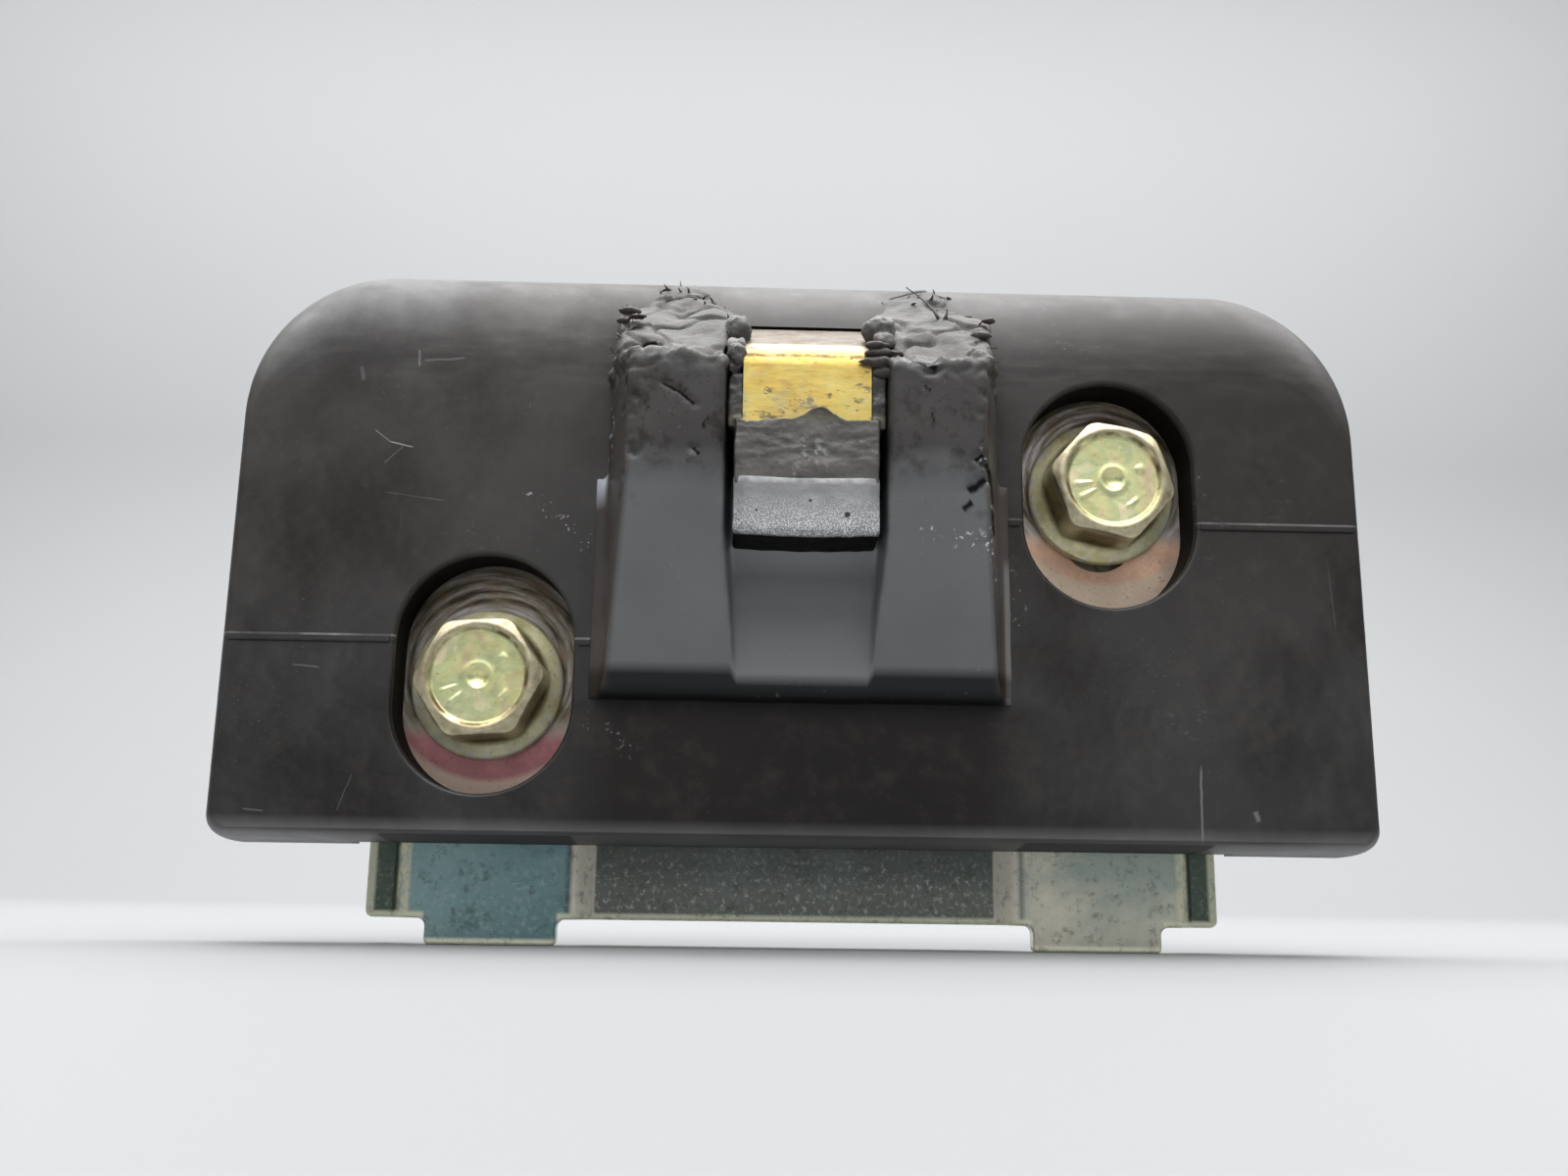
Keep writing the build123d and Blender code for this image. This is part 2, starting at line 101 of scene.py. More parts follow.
class Nodes:
    """Adds nodes to one material and joins them."""

    def __init__(self, name):
        self.material = bpy.data.materials.new(name)
        self.material.use_nodes = True
        self.tree = self.material.node_tree
        self.coords = self.tree.nodes.new("ShaderNodeTexCoord").outputs["Object"]
        split = self.tree.nodes.new("ShaderNodeSeparateXYZ")
        self.tree.links.new(self.coords, split.inputs[0])
        self.x, self.y, self.z = split.outputs
        self.colour = None

    def node(self, kind, inputs, **settings):
        """The outputs of a new node, its inputs given by name or number."""
        made = self.tree.nodes.new(kind)
        for key, value in settings.items():
            setattr(made, key, value)
        for key, value in inputs.items():
            self.put(value, made.inputs[key])
        return made.outputs

    def put(self, value, socket):
        """Joins an output to a socket, or sets a constant on it."""
        if isinstance(value, bpy.types.NodeSocket):
            self.tree.links.new(value, socket)
        elif isinstance(value, (int, float)):
            socket.default_value = value
        else:
            socket.default_value = (*value[:3], 1.0)

    def stretched(self, stretch, rotation=(0, 0, 0)):
        """Object coordinates scaled along each axis, so that a pattern runs long or short."""
        if stretch is None:
            return self.coords
        mapping = self.tree.nodes.new("ShaderNodeMapping")
        mapping.inputs["Scale"].default_value = stretch
        mapping.inputs["Rotation"].default_value = rotation
        self.put(self.coords, mapping.inputs["Vector"])
        return mapping.outputs["Vector"]

    def noise(self, scale, detail=4.0, roughness=0.55, stretch=None, distortion=0.0, vector=None):
        inputs = {"Scale": scale, "Detail": detail, "Roughness": roughness, "Distortion": distortion}
        inputs["Vector"] = self.stretched(stretch) if vector is None else vector
        return self.node("ShaderNodeTexNoise", inputs)["Fac"]

    def cell_edges(self, scale, stretch, rotation):
        """Distance from the borders of random cells: 0 on a net of thin lines."""
        inputs = {"Scale": scale, "Vector": self.stretched(stretch, rotation)}
        return self.node("ShaderNodeTexVoronoi", inputs, feature="DISTANCE_TO_EDGE")["Distance"]

    def vector(self, x, y, z):
        return self.node("ShaderNodeCombineXYZ", {0: x, 1: y, 2: z})[0]

    def math(self, operation, first, second=0.0):
        return self.node("ShaderNodeMath", {0: first, 1: second}, operation=operation)[0]

    def plus(self, first, second):
        return self.math("ADD", first, second)

    def minus(self, first, second):
        return self.math("SUBTRACT", first, second)

    def most(self, first, second):
        return self.math("MAXIMUM", first, second)

    def times(self, *factors):
        product = factors[0]
        for factor in factors[1:]:
            product = self.math("MULTIPLY", product, factor)
        return product

    def between(self, value, low, rise, fall, high):
        """0 up to low, 1 from rise to fall, 0 again from high on."""
        return self.times(self.band(value, low, rise), self.band(value, high, fall))

    def around(self, value, low, high, soft):
        """1 between two places and 0 outside them, softened by the same amount at both."""
        return self.times(self.past(value, low, soft), self.past(value, high, -soft))

    def past(self, value, place, soft):
        """0 before a place and 1 beyond it; the other way round where soft is negative."""
        return self.band(value, place - soft, place + soft)

    def near(self, value, place, start, end):
        """0 at the start and 1 at the end, each so many millimetres from a place."""
        return self.band(value, place + start * MM, place + end * MM)

    def spots(self, low, high, *pattern, **options):
        """Noise, 0 where it is under low and 1 where it is over high."""
        return self.band(self.noise(*pattern, **options), low, high)

    def scattered(self, fine, coarse):
        """Fine spots that come only in coarse patches."""
        return self.times(self.spots(*fine), self.spots(*coarse))

    def ramp(self, value, *stops):
        """A value turned into colours through (place, colour) stops."""
        made = self.tree.nodes.new("ShaderNodeValToRGB")
        elements = made.color_ramp.elements
        while len(elements) < len(stops):
            elements.new(0.5)
        for element, (place, colour) in zip(elements, stops):
            element.position = place
            element.color = (*colour, 1.0)
        self.put(value, made.inputs["Fac"])
        return made.outputs["Color"]

    def band(self, value, low, high, start=0.0, end=1.0):
        """Maps low..high of a value to start..end, clamped."""
        inputs = {"Value": value, "From Min": low, "From Max": high, "To Min": start, "To Max": end}
        return self.node("ShaderNodeMapRange", inputs)["Result"]

    def mix(self, share, first, second):
        """The second colour over the first, as far as the share says."""
        return self.node("ShaderNodeMix", {0: share, 6: first, 7: second}, data_type="RGBA")[2]

    def radius(self, centre_x, centre_z):
        """Distance in X and Z from an axis along Y."""
        across = self.minus(self.x, centre_x)
        up = self.minus(self.z, centre_z)
        return self.math("SQRT", self.plus(self.times(across, across), self.times(up, up)))

    def line_mark(self, start, end, width):
        """1 on a thin straight mark between two places in X and Z, in millimetres, else 0."""
        (ax, az), (bx, bz) = start, end
        length = math.hypot(bx - ax, bz - az)
        along_x, along_z = (bx - ax) / length, (bz - az) / length
        from_x = self.minus(self.x, (ax + bx) / 2 * MM)
        from_z = self.minus(self.z, (az + bz) / 2 * MM)
        along = self.plus(self.times(from_x, along_x), self.times(from_z, along_z))
        aside = self.minus(self.times(from_x, along_z), self.times(from_z, along_x))
        waver = self.band(self.noise(500, 2), 0, 1, -width * MM, width * MM)
        aside = self.plus(aside, waver)
        inside = self.band(self.math("ABSOLUTE", along), length / 2 * MM, length * 0.4 * MM)
        thin = self.band(self.math("ABSOLUTE", aside), width * MM, width * 0.3 * MM)
        return self.times(inside, thin)

    def bump(self, height, strength, distance, normal=None):
        inputs = {"Height": height, "Strength": strength, "Distance": distance}
        if normal is not None:
            inputs["Normal"] = normal
        return self.node("ShaderNodeBump", inputs)["Normal"]

    def paint(self, colour, *factors):
        """Lays a colour over what is there, as far as the product of the factors says."""
        self.colour = self.mix(self.times(*factors), self.colour, colour)

    def worn(self, rough, grain, metallic):
        """Ends a material whose roughness drifts: (scale, low, high), and (scale, strength, depth)."""
        scale, low, high = rough
        roughness = self.band(self.noise(scale, 4, 0.6), 0.3, 0.7, low, high)
        scale, strength, depth = grain
        normal = self.bump(self.noise(scale, 3, 0.6), strength, depth)
        return self.finish(roughness, normal, metallic)

    def finish(self, roughness, normal=None, metallic=0.0):
        """Joins the results to the shader and gives the material back."""
        inputs = self.tree.nodes["Principled BSDF"].inputs
        self.put(self.colour, inputs["Base Color"])
        self.put(roughness, inputs["Roughness"])
        self.put(metallic, inputs["Metallic"])
        if normal is not None:
            self.put(normal, inputs["Normal"])
        return self.material


# ---- materials

def cover_plastic():
    """Cover: black moulding, dusty, scratched and stained."""
    m = Nodes("cover_plastic")
    haze = m.spots(0.32, 0.7, 26, 5, 0.6)
    lower = m.band(m.z, cover_low.z, cover_low.z + 45 * MM)
    m.colour = m.mix(haze, (0.011, 0.0115, 0.012), (0.02, 0.019, 0.018))
    m.paint((0.03, 0.026, 0.024), lower, 0.6)
    dusty = m.times(m.band(m.x, 0.015, -0.045), m.band(m.z, -0.012, 0.02))
    m.paint((0.036, 0.033, 0.029), dusty, m.band(m.noise(70, 4), 0.3, 0.7, 0.4, 1), 0.75)
    # fine streaks of painted sheen where the rolled top runs into the flat face
    below_top = m.minus(cover_high.z, m.z)
    roll_foot_sheen = m.between(below_top, 0.008, 0.012, 0.014, 0.0185)
    streaks = m.spots(0.42, 0.7, 700, 4, 0.65, (0.2, 1, 1))
    m.paint((0.11, 0.105, 0.1), roll_foot_sheen, streaks, 0.4)
    dust = m.scattered((0.66, 0.78, 2400, 2, 0.5), (0.45, 0.6, 60, 2))
    m.paint((0.3, 0.29, 0.28), dust, 0.3)
    hairs = m.band(m.cell_edges(85, (1.0, 1.0, 0.14), (0, 0.9, 0)), 0.0, 0.01, 1.0, 0.0)
    hairs = m.times(hairs, m.spots(0.63, 0.72, 45, 2))
    scuffs = m.scattered((0.62, 0.78, 420, 4, 0.7, (1, 1, 2.4)), (0.54, 0.66, 55, 2))
    marks_and_highlights = m.plus(m.times(hairs, 0.18), m.times(scuffs, 0.24))
    for start, end, width, share in COVER_MARKS:
        marks_and_highlights = m.plus(marks_and_highlights, m.times(m.line_mark(start, end, width), share))
    # witness lines: a painted highlight on the ridge's upper edge, added to the light marks, and a painted
    # shadow under it
    for half_sign, height in WITNESS_LINES:
        half = m.band(m.times(m.x, half_sign), 0.022, 0.0225)
        half = m.times(half, m.near(m.y, cover_low.y, 5.0, 3.0))
        above = m.minus(m.z, height * MM)
        witness_highlight = m.between(above, 0.00018, 0.00028, 0.00045, 0.00055)
        waver = m.band(m.noise(210, 3), 0.35, 0.65, 0.2, 1.0)
        marks_and_highlights = m.plus(marks_and_highlights, m.times(half, witness_highlight, waver, 0.85))
        witness_shadow = m.between(above, -0.00056, -0.00046, -0.00028, -0.00018)
        m.paint((0.003, 0.003, 0.003), half, witness_shadow, 0.8)
    for start, end, width in COVER_FLECKS:
        flecks = m.times(m.line_mark(start, end, width), m.spots(0.62, 0.68, 1900, 3, 0.6))
        marks_and_highlights = m.plus(marks_and_highlights, m.times(flecks, 0.9))
    marks_and_highlights = m.math("MINIMUM", marks_and_highlights, 1.0)
    # the scratches, crumbs and the witness lines' painted highlights are painted light grey
    m.paint((0.34, 0.33, 0.33), marks_and_highlights)
    # the rolled top is duller, with a painted sheen towards its left end
    roll = m.near(m.z, cover_high.z, -20.0, -6.0)
    left_end_sheen = m.times(roll, m.band(m.x, -0.03, -0.052))
    m.paint((0.07, 0.072, 0.076), left_end_sheen, 0.7)
    # painted shade, near black, on the recesses' walls
    aside = m.math("ABSOLUTE", m.x)
    recess_shade = m.times(m.near(m.y, cover_low.y, 0.7, 1.4), m.past(m.z, recess_top, -0.0003))
    recess_shade = m.times(recess_shade, m.around(aside, recess_inner, recess_outer, 0.0002))
    m.paint((0.004, 0.004, 0.004), recess_shade)
    # stains that swallow the light, in patches and on the upper right, and a painted shadow below the block
    stains_and_shadow = m.times(m.spots(0.44, 0.62, 42, 6, 0.62), 0.5)
    right = m.times(m.band(m.x, 0.02, 0.045), m.band(m.z, -0.012, 0.008), 0.4)
    shadow_under_block = m.times(m.band(m.z, -0.0125, -0.015), m.band(aside, 0.034, 0.02), 0.6)
    stains_and_shadow = m.most(stains_and_shadow, m.most(right, shadow_under_block))
    m.paint((0.012, 0.0095, 0.0085), stains_and_shadow)
    mottle = m.noise(330, 6, 0.65)
    m.paint((0.04, 0.036, 0.033), m.band(mottle, 0.5, 0.72, 0.0, 0.45))
    # the lower lip catches the light that comes off the floor
    lip = m.times(m.near(m.z, cover_low.z, 2.7, 0.6), m.near(m.y, cover_low.y, 10.0, 6.0))
    lip = m.times(lip, m.band(m.noise(34, 3), 0.3, 0.7, 0.55, 1.0))
    m.paint((0.175, 0.17, 0.172), lip, 0.8)
    stains_and_shadow = m.times(stains_and_shadow, m.minus(1.0, lip))
    rough = m.plus(m.band(haze, 0, 1, 0.44, 0.54), m.times(recess_shade, 0.25))
    rough = m.plus(rough, m.band(mottle, 0.3, 0.7, -0.05, 0.06))
    rough = m.plus(rough, m.times(roll, 0.1))
    normal = m.bump(m.noise(1300, 3, 0.6), 0.1, 0.00005)
    normal = m.bump(m.noise(120, 3, 0.5), 0.12, 0.0003, normal)
    # the painted shade in the recesses, the stains and the painted shadow below the block are made metallic
    # so that, being black, they reflect next to nothing
    return m.finish(rough, normal, metallic=m.most(m.times(recess_shade, 0.9), stains_and_shadow))


# Mould lines across the cover's two halves: side, and height in millimetres
WITNESS_LINES = ((-1, -7.9), (1, 7.0))

# Light marks on the cover's face: start and end in X and Z, half width, strength
COVER_MARKS = (
    ((-49.6, 16.6), (-47.6, 15.0), 0.08, 0.5),
    ((-47.8, 15.1), (-45.0, 14.5), 0.11, 0.9),
    ((-48.3, 12.5), (-46.1, 14.7), 0.07, 0.4),
    ((-45.1, 26.5), (-45.0, 24.3), 0.16, 0.5),
    ((-51.7, 24.3), (-51.3, 22.5), 0.3, 0.3),
    ((-48.0, 9.1), (-40.9, 8.2), 0.07, 0.3),
    ((-49.7, -24.4), (-50.6, -27.2), 0.08, 0.35),
    ((-49.2, -23.0), (-49.7, -24.6), 0.08, 0.35),
    ((-44.6, 25.1), (-39.6, 25.6), 0.18, 0.45),
    ((44.8, -20.5), (44.6, -29.5), 0.16, 0.35),
    ((-56.8, -11.0), (-53.6, -11.3), 0.1, 0.25),
    ((50.6, -25.6), (51.0, -26.8), 0.45, 0.35),
    ((-60.8, -27.0), (-58.4, -27.2), 0.12, 0.3),
)

# Places where white crumbs stuck to the cover: start and end, half width
COVER_FLECKS = (
    ((-24.6, -16.0), (-17.6, -20.6), 1.5),
    ((-30.5, -17.0), (-26.5, -18.6), 1.0),
    ((-32.0, 10.0), (-23.8, 2.5), 1.2),
    ((22.8, 4.0), (25.2, -6.0), 1.2),
    ((44.5, 14.5), (47.5, 7.5), 1.4),
)


def block_rubber():
    """Guide block: dark with grime on the upright fronts, the slope below painted grey as a painted
    reflection of the floor, torn and dry on top.
    """
    m = Nodes("block_rubber")
    cloud = m.spots(0.35, 0.7, 60, 5, 0.6)
    upright = m.mix(cloud, (0.02, 0.019, 0.019), (0.036, 0.033, 0.031))
    aside = m.math("ABSOLUTE", m.x)
    # the slope is painted paler than the upright fronts: a painted reflection of the floor
    slope_painted_light = m.mix(cloud, (0.108, 0.113, 0.117), (0.136, 0.142, 0.146))
    # the tongue is painted palest just under the pad, painted light against the shade the pad casts there
    tongue_edge = m.band(m.z, tongue_low, tongue_high, tongue_narrow, tongue_wide)
    tongue = m.band(m.minus(aside, tongue_edge), 0.0005, -0.0002)
    tongue = m.times(tongue, m.band(m.y, -0.0174, -0.0168))
    tongue_painted_light = m.ramp(
        m.band(m.z, -0.0125, tongue_high),
        (0.0, (0.148, 0.153, 0.157)),
        (0.5, (0.13, 0.135, 0.139)),
        (0.75, (0.165, 0.171, 0.176)),
        (1.0, (0.4, 0.415, 0.425)),
    )
    slope_painted_light = m.mix(tongue, slope_painted_light, tongue_painted_light)
    drift = m.plus(m.z, m.band(m.noise(110, 3), 0, 1, -0.002, 0.002))
    m.colour = m.mix(m.near(drift, shoulder, -10.0, -15.0), upright, slope_painted_light)
    # painted shade, near black, where the block's foot turns under
    lower = m.plus(m.z, m.times(tongue, 0.0011))
    shade_underneath = m.near(lower, block_low.z, 4.1, 2.8)
    m.paint((0.006, 0.0065, 0.007), shade_underneath, 0.95)
    # grime and small dark scars on the upright fronts
    high_up = m.near(drift, shoulder, -14.5, -10.0)
    grime = m.spots(0.52, 0.64, 380, 5, 0.65)
    m.paint((0.013, 0.0095, 0.008), high_up, grime, 0.65)
    scars = m.times(high_up, m.spots(0.62, 0.68, 900, 4, 0.7, (1, 1, 0.6)))
    m.paint((0.008, 0.005, 0.004), scars, 0.8)
    dull = m.most(m.times(scars, 0.7), m.times(high_up, grime, 0.35))
    dull = m.most(m.times(shade_underneath, 0.6), dull)
    # brown glossy outer walls, and the low skirt, with a painted reflection on its upper left end and a
    # painted highlight on its right ridge
    back = m.minus(m.y, rib_front)
    wall = m.minus(aside, m.times(back, rib_draft))
    sides = m.band(wall, 0.0189, 0.0196)
    sides = m.times(sides, m.near(m.z, block_low.z, 0.4, 1.4))
    brown = m.mix(m.spots(0.3, 0.7, 120, 3), (0.026, 0.02, 0.018), (0.048, 0.038, 0.033))
    m.paint(brown, sides, 0.85)
    skirt = m.times(m.past(aside, skirt_side, 0.0003), m.past(m.z, skirt_top, -0.0004))
    m.paint((0.075, 0.064, 0.056), skirt, 0.6)
    lit = m.times(skirt, m.band(m.x, -0.02, -0.021), m.band(m.z, 0.0072, 0.0098))
    m.paint((0.42, 0.44, 0.49), lit, 0.8)
    ridge_highlight = m.times(m.band(aside, 0.0227, 0.0231), m.band(m.x, 0.02, 0.021), m.band(m.z, 0.0025, 0.001))
    m.paint((0.2, 0.19, 0.18), ridge_highlight, 0.8)
    specks = m.scattered((0.66, 0.78, 1700, 2, 0.5), (0.45, 0.6, 90, 2))
    m.paint((0.28, 0.28, 0.28), specks, 0.3)
    for start, end, width in BLOCK_FLECKS:
        flecks = m.times(m.line_mark(start, end, width), m.spots(0.6, 0.66, 1500, 3, 0.6))
        m.paint((0.62, 0.64, 0.66), flecks, 0.8)
    # the torn tops are dry and greyer than the moulded skin, and brown where they frayed
    ragged = m.plus(m.z, m.band(m.noise(230, 4, 0.6), 0, 1, -0.0042, 0.0042))
    torn = m.near(ragged, shoulder, -1.6, 1.2)
    dry = m.spots(0.3, 0.72, 260, 6, 0.6)
    grey = m.mix(dry, (0.038, 0.036, 0.034), (0.09, 0.088, 0.085))
    grey = m.mix(m.times(m.spots(0.62, 0.7, 300, 4, 0.6), 0.8), grey, (0.05, 0.032, 0.026))
    frayed = m.times(m.band(aside, 0.0162, 0.0188), m.spots(0.46, 0.55, 520, 4, 0.65))
    grey = m.mix(m.times(frayed, 0.8), grey, (0.045, 0.03, 0.026))
    m.paint(grey, torn)
    # each cut is painted near black: painted shade inside it
    for start, end, radius, _ in BLOCK_CUTS:
        gash_shade = m.line_mark((start[0], start[2]), (end[0], end[2]), radius)
        m.paint((0.004, 0.003, 0.003), gash_shade, 0.92)
        dull = m.most(dull, m.times(gash_shade, 0.9))
    rough = m.plus(m.band(cloud, 0, 1, 0.3, 0.4), m.times(torn, 0.35))
    normal = m.bump(m.noise(1500, 3, 0.6), 0.12, 0.00006)
    normal = m.bump(m.times(torn, m.noise(2600, 4, 0.7)), 0.6, 0.00015, normal)
    return m.finish(rough, normal, metallic=dull)


# Places where white crumbs stuck to the block: start and end, half width
BLOCK_FLECKS = (
    ((11.8, 3.6), (21.4, 2.2), 1.3),
    ((20.0, 4.5), (21.6, -3.0), 0.9),
    ((-22.0, 20.0), (-22.6, 12.0), 0.8),
    ((18.8, 12.5), (20.8, 6.0), 0.8),
)


def sleeve_rubber():
    """The skin left on the strap: rubbed, dirty and cracked."""
    m = Nodes("sleeve_rubber")
    rubbed = m.spots(0.35, 0.68, 300, 5, 0.65, (0.5, 1, 1))
    m.colour = m.mix(rubbed, (0.042, 0.04, 0.037), (0.11, 0.105, 0.097))
    crust = m.spots(0.58, 0.68, 900, 5, 0.7)
    m.paint((0.24, 0.225, 0.205), crust, 0.5)
    chips = m.band(m.radius(0.0004, 0.0114), 0.0024, 0.0012)
    chips = m.times(chips, m.spots(0.52, 0.6, 1200, 4, 0.6))
    m.paint((0.3, 0.32, 0.3), chips, 0.6)
    # the pointed remnant is thin enough to look green over the chromate
    thin = m.band(m.z, 0.015, 0.0158)
    m.paint((0.075, 0.07, 0.045), thin, 0.85)
    # beside the strap it is smooth and dark below, torn and grey on top
    beside = m.near(m.z, sleeve_high.z, -12.5, -11.8)
    smooth_dark = m.mix(m.spots(0.35, 0.65, 200, 3), (0.022, 0.023, 0.024), (0.034, 0.034, 0.034))
    m.paint(smooth_dark, beside, 0.9)
    ragged = m.plus(m.z, m.band(m.noise(500, 3), 0, 1, -0.0012, 0.0012))
    torn = m.near(ragged, sleeve_high.z, -5.8, -4.8)
    grey = m.mix(m.spots(0.35, 0.65, 500, 5, 0.65), (0.1, 0.098, 0.095), (0.26, 0.255, 0.25))
    m.paint(grey, torn)
    rough = m.plus(m.band(m.noise(500, 4, 0.6), 0.3, 0.7, 0.28, 0.5), m.times(torn, 0.3))
    normal = m.bump(m.noise(900, 5, 0.65), 0.5, 0.00018)
    return m.finish(rough, normal)


# Pits in the pad: X, Z and half width in millimetres
PAD_PITS = ((0.4, 6.2, 0.16), (4.4, 4.7, 0.3), (-5.4, 5.0, 0.12))


def worn_pad():
    """Pad: polished grey, pitted, with a painted sparkle low down, a painted highlight under its upper edge
    and a painted shade on its underside.
    """
    m = Nodes("worn_pad")
    polish = m.spots(0.3, 0.75, 320, 4, 0.6)
    m.colour = m.mix(polish, (0.165, 0.167, 0.17), (0.245, 0.248, 0.252))
    low_edge = m.near(m.z, pad_low.z, 4.8, 1.0)
    # painted sparkle low down
    sparkle = m.spots(0.5, 0.57, 6500, 1, 0.5)
    m.paint((0.66, 0.67, 0.7), low_edge, sparkle, 0.85)
    # painted highlight just under the upper edge
    rim_highlight = m.between(m.minus(pad_high.z, m.z), 0.0006, 0.001, 0.0012, 0.0016)
    m.paint((0.42, 0.42, 0.42), rim_highlight, m.spots(0.35, 0.6, 600, 3))
    upper_edge = m.near(m.z, pad_high.z, -0.8, -0.2)
    m.paint((0.05, 0.048, 0.045), upper_edge, 0.5)
    for pit_x, pit_z, size in PAD_PITS:
        pit = m.band(m.radius(pit_x * MM, pit_z * MM), size * 1.3 * MM, size * 0.8 * MM)
        m.paint((0.008, 0.008, 0.008), pit)
    # painted shade, near black, on the underside
    underside_shade = m.times(m.near(m.z, pad_low.z, 0.7, 0.3), m.near(m.y, pad_low.y, 0.4, 0.9))
    m.paint((0.004, 0.004, 0.004), underside_shade)
    rough = m.plus(m.band(polish, 0, 1, 0.38, 0.52), m.times(underside_shade, 0.4))
    normal = m.bump(m.noise(4200, 2, 0.6), 0.35, 0.00008)
    return m.finish(rough, normal, metallic=m.times(underside_shade, 0.8))


def yellow_zinc():
    """Strap: yellow chromate, speckled with rubber, rubbed pale over the bend, with a painted highlight
    along it.
    """
    m = Nodes("yellow_zinc_steel")
    cloud = m.noise(210, 5, 0.65)
    m.colour = m.ramp(
        cloud,
        (0.32, (0.62, 0.36, 0.15)),
        (0.43, (0.68, 0.48, 0.13)),
        (0.58, (0.72, 0.58, 0.18)),
        (0.72, (0.66, 0.59, 0.42)),
    )
    streaks = m.spots(0.56, 0.72, 800, 4, 0.6, stretch=(0.25, 1, 1.0))
    m.paint((0.64, 0.44, 0.16), streaks, 0.45)
    # specks of rubber still stuck to the plating, most of them low on its front
    low_down = m.band(m.z, 0.0215, 0.0155)
    stain_level = m.plus(m.noise(900, 5, 0.7, stretch=(0.6, 1, 1.3)), m.times(low_down, 0.06))
    stains = m.band(stain_level, 0.6, 0.66)
    m.paint((0.1, 0.085, 0.06), stains, 0.85)
    grubby = m.times(m.spots(0.46, 0.62, 260, 4, 0.6), m.band(m.x, 0.002, -0.005, 0.2, 0.8))
    m.paint((0.46, 0.42, 0.32), grubby)
    # over the bend the plating is rubbed to a pinkish grey; a painted highlight lies along the bend, with a
    # painted shade line under it
    up_high = m.band(m.z, 0.018, 0.019)
    over = m.times(up_high, m.near(m.y, strap_low.y, 0.9, 1.3))
    worn = m.mix(m.spots(0.38, 0.62, 480, 4, 0.6), (0.095, 0.066, 0.043), (0.135, 0.118, 0.094))
    m.paint(worn, over)
    behind = m.minus(m.y, strap_low.y)
    # painted highlight along the bend
    m.paint((0.17, 0.163, 0.15), up_high, m.between(behind, 0.0003, 0.0005, 0.0009, 0.0013), 0.9)
    shade = m.times(m.between(m.z, 0.0228, 0.0231, 0.0234, 0.0237), m.band(behind, 0.0004, 0.0002))
    m.paint((0.1, 0.07, 0.045), shade, m.band(m.noise(700, 3), 0.3, 0.6, 0.3, 0.9))
    rough = m.plus(m.band(m.noise(600, 4, 0.6), 0.3, 0.7, 0.3, 0.46), m.times(over, 0.12))
    normal = m.bump(m.noise(1500, 3, 0.6, stretch=(0.3, 1, 1)), 0.25, 0.00008)
    return m.finish(rough, normal, metallic=m.band(stains, 0, 1, 0.85, 0.1))


def drifting(name, tints, rough_low, rough_high, scale, metallic=0.9):
    """A worn finish that drifts through the tints given, dark to light."""
    m = Nodes(name)
    cloud = m.noise(scale, 5, 0.6, distortion=0.6)
    m.colour = m.ramp(cloud, *[(0.3 + 0.45 * i / (len(tints) - 1), t) for i, t in enumerate(tints)])
    speckle = m.spots(0.6, 0.74, scale * 22, 3, 0.6)
    m.paint((0.1, 0.095, 0.08), speckle, 0.45)
    return m.worn((scale * 6, rough_low, rough_high), (scale * 30, 0.25, 0.00006), metallic)


# Chromate left below each bolt, where the flange never rubbed
CRESCENTS = {"left": (0.44, 0.19, 0.2), "right": (0.74, 0.48, 0.34)}


def plate_zinc():
    """Base plate: rings rubbed round each bolt, pink and orange chromate under them, rust above, and a
    painted shadow under each slot's top.
    """
    m = Nodes("zinc_plate")
    cloud = m.noise(140, 5, 0.6, distortion=0.5)
    m.colour = m.ramp(cloud, (0.3, (0.4, 0.37, 0.3)), (0.5, (0.55, 0.52, 0.45)), (0.75, (0.66, 0.64, 0.62)))
    for side, crescent in CRESCENTS.items():
        axis_x, axis_z = bolt_axis(side)
        near = m.band(m.radius(axis_x, axis_z), 0.02, 0.018)
        near = m.times(near, m.near(m.y, plate_high.y, -0.8, -1.2))
        # the rings' middle lies above the bolt, where it was clamped before
        ring = m.radius(axis_x + 0.0004, axis_z + 0.0016)
        turns = m.vector(ring, m.times(m.z, 0.1), m.times(m.x, 0.1))
        swirl = m.noise(1500, 4, 0.6, vector=turns)
        rings = m.ramp(
            swirl,
            (0.36, (0.07, 0.06, 0.045)),
            (0.46, (0.24, 0.21, 0.155)),
            (0.55, (0.38, 0.35, 0.3)),
            (0.67, (0.66, 0.62, 0.66)),
        )
        patches = m.spots(0.5, 0.64, 380, 4, 0.6)
        rings = m.mix(m.times(patches, 0.5), rings, (0.27, 0.17, 0.09))
        # painted shadow under the slot's top, as a dark band above the bolt
        outer = m.times(m.band(ring, 0.0098, 0.0125), m.near(m.z, axis_z, 1.0, 6.0))
        rings = m.mix(m.times(outer, 0.75), rings, (0.055, 0.05, 0.038))
        rubbed = m.times(near, m.near(m.z, axis_z, -5.5, -3.5))
        m.paint(rings, rubbed)
        below = m.times(near, m.near(m.z, axis_z, -4.5, -6.5))
        brighter = [min(1, c * 1.35) for c in crescent]
        tint = m.mix(m.spots(0.35, 0.7, 330, 4, 0.6), crescent, brighter)
        pale = m.band(ring, 0.0122, 0.0129)
        tint = m.mix(m.times(pale, 0.7), tint, (0.76, 0.66, 0.52))
        m.paint(tint, below)
    specks = m.spots(0.62, 0.72, 2600, 3, 0.6)
    m.paint((0.06, 0.05, 0.04), specks, 0.5)
    rough = m.band(m.noise(900, 4, 0.6), 0.3, 0.7, 0.3, 0.52)
    normal = m.bump(m.noise(2200, 4, 0.65), 0.45, 0.0001)
    return m.finish(rough, normal, metallic=0.55)


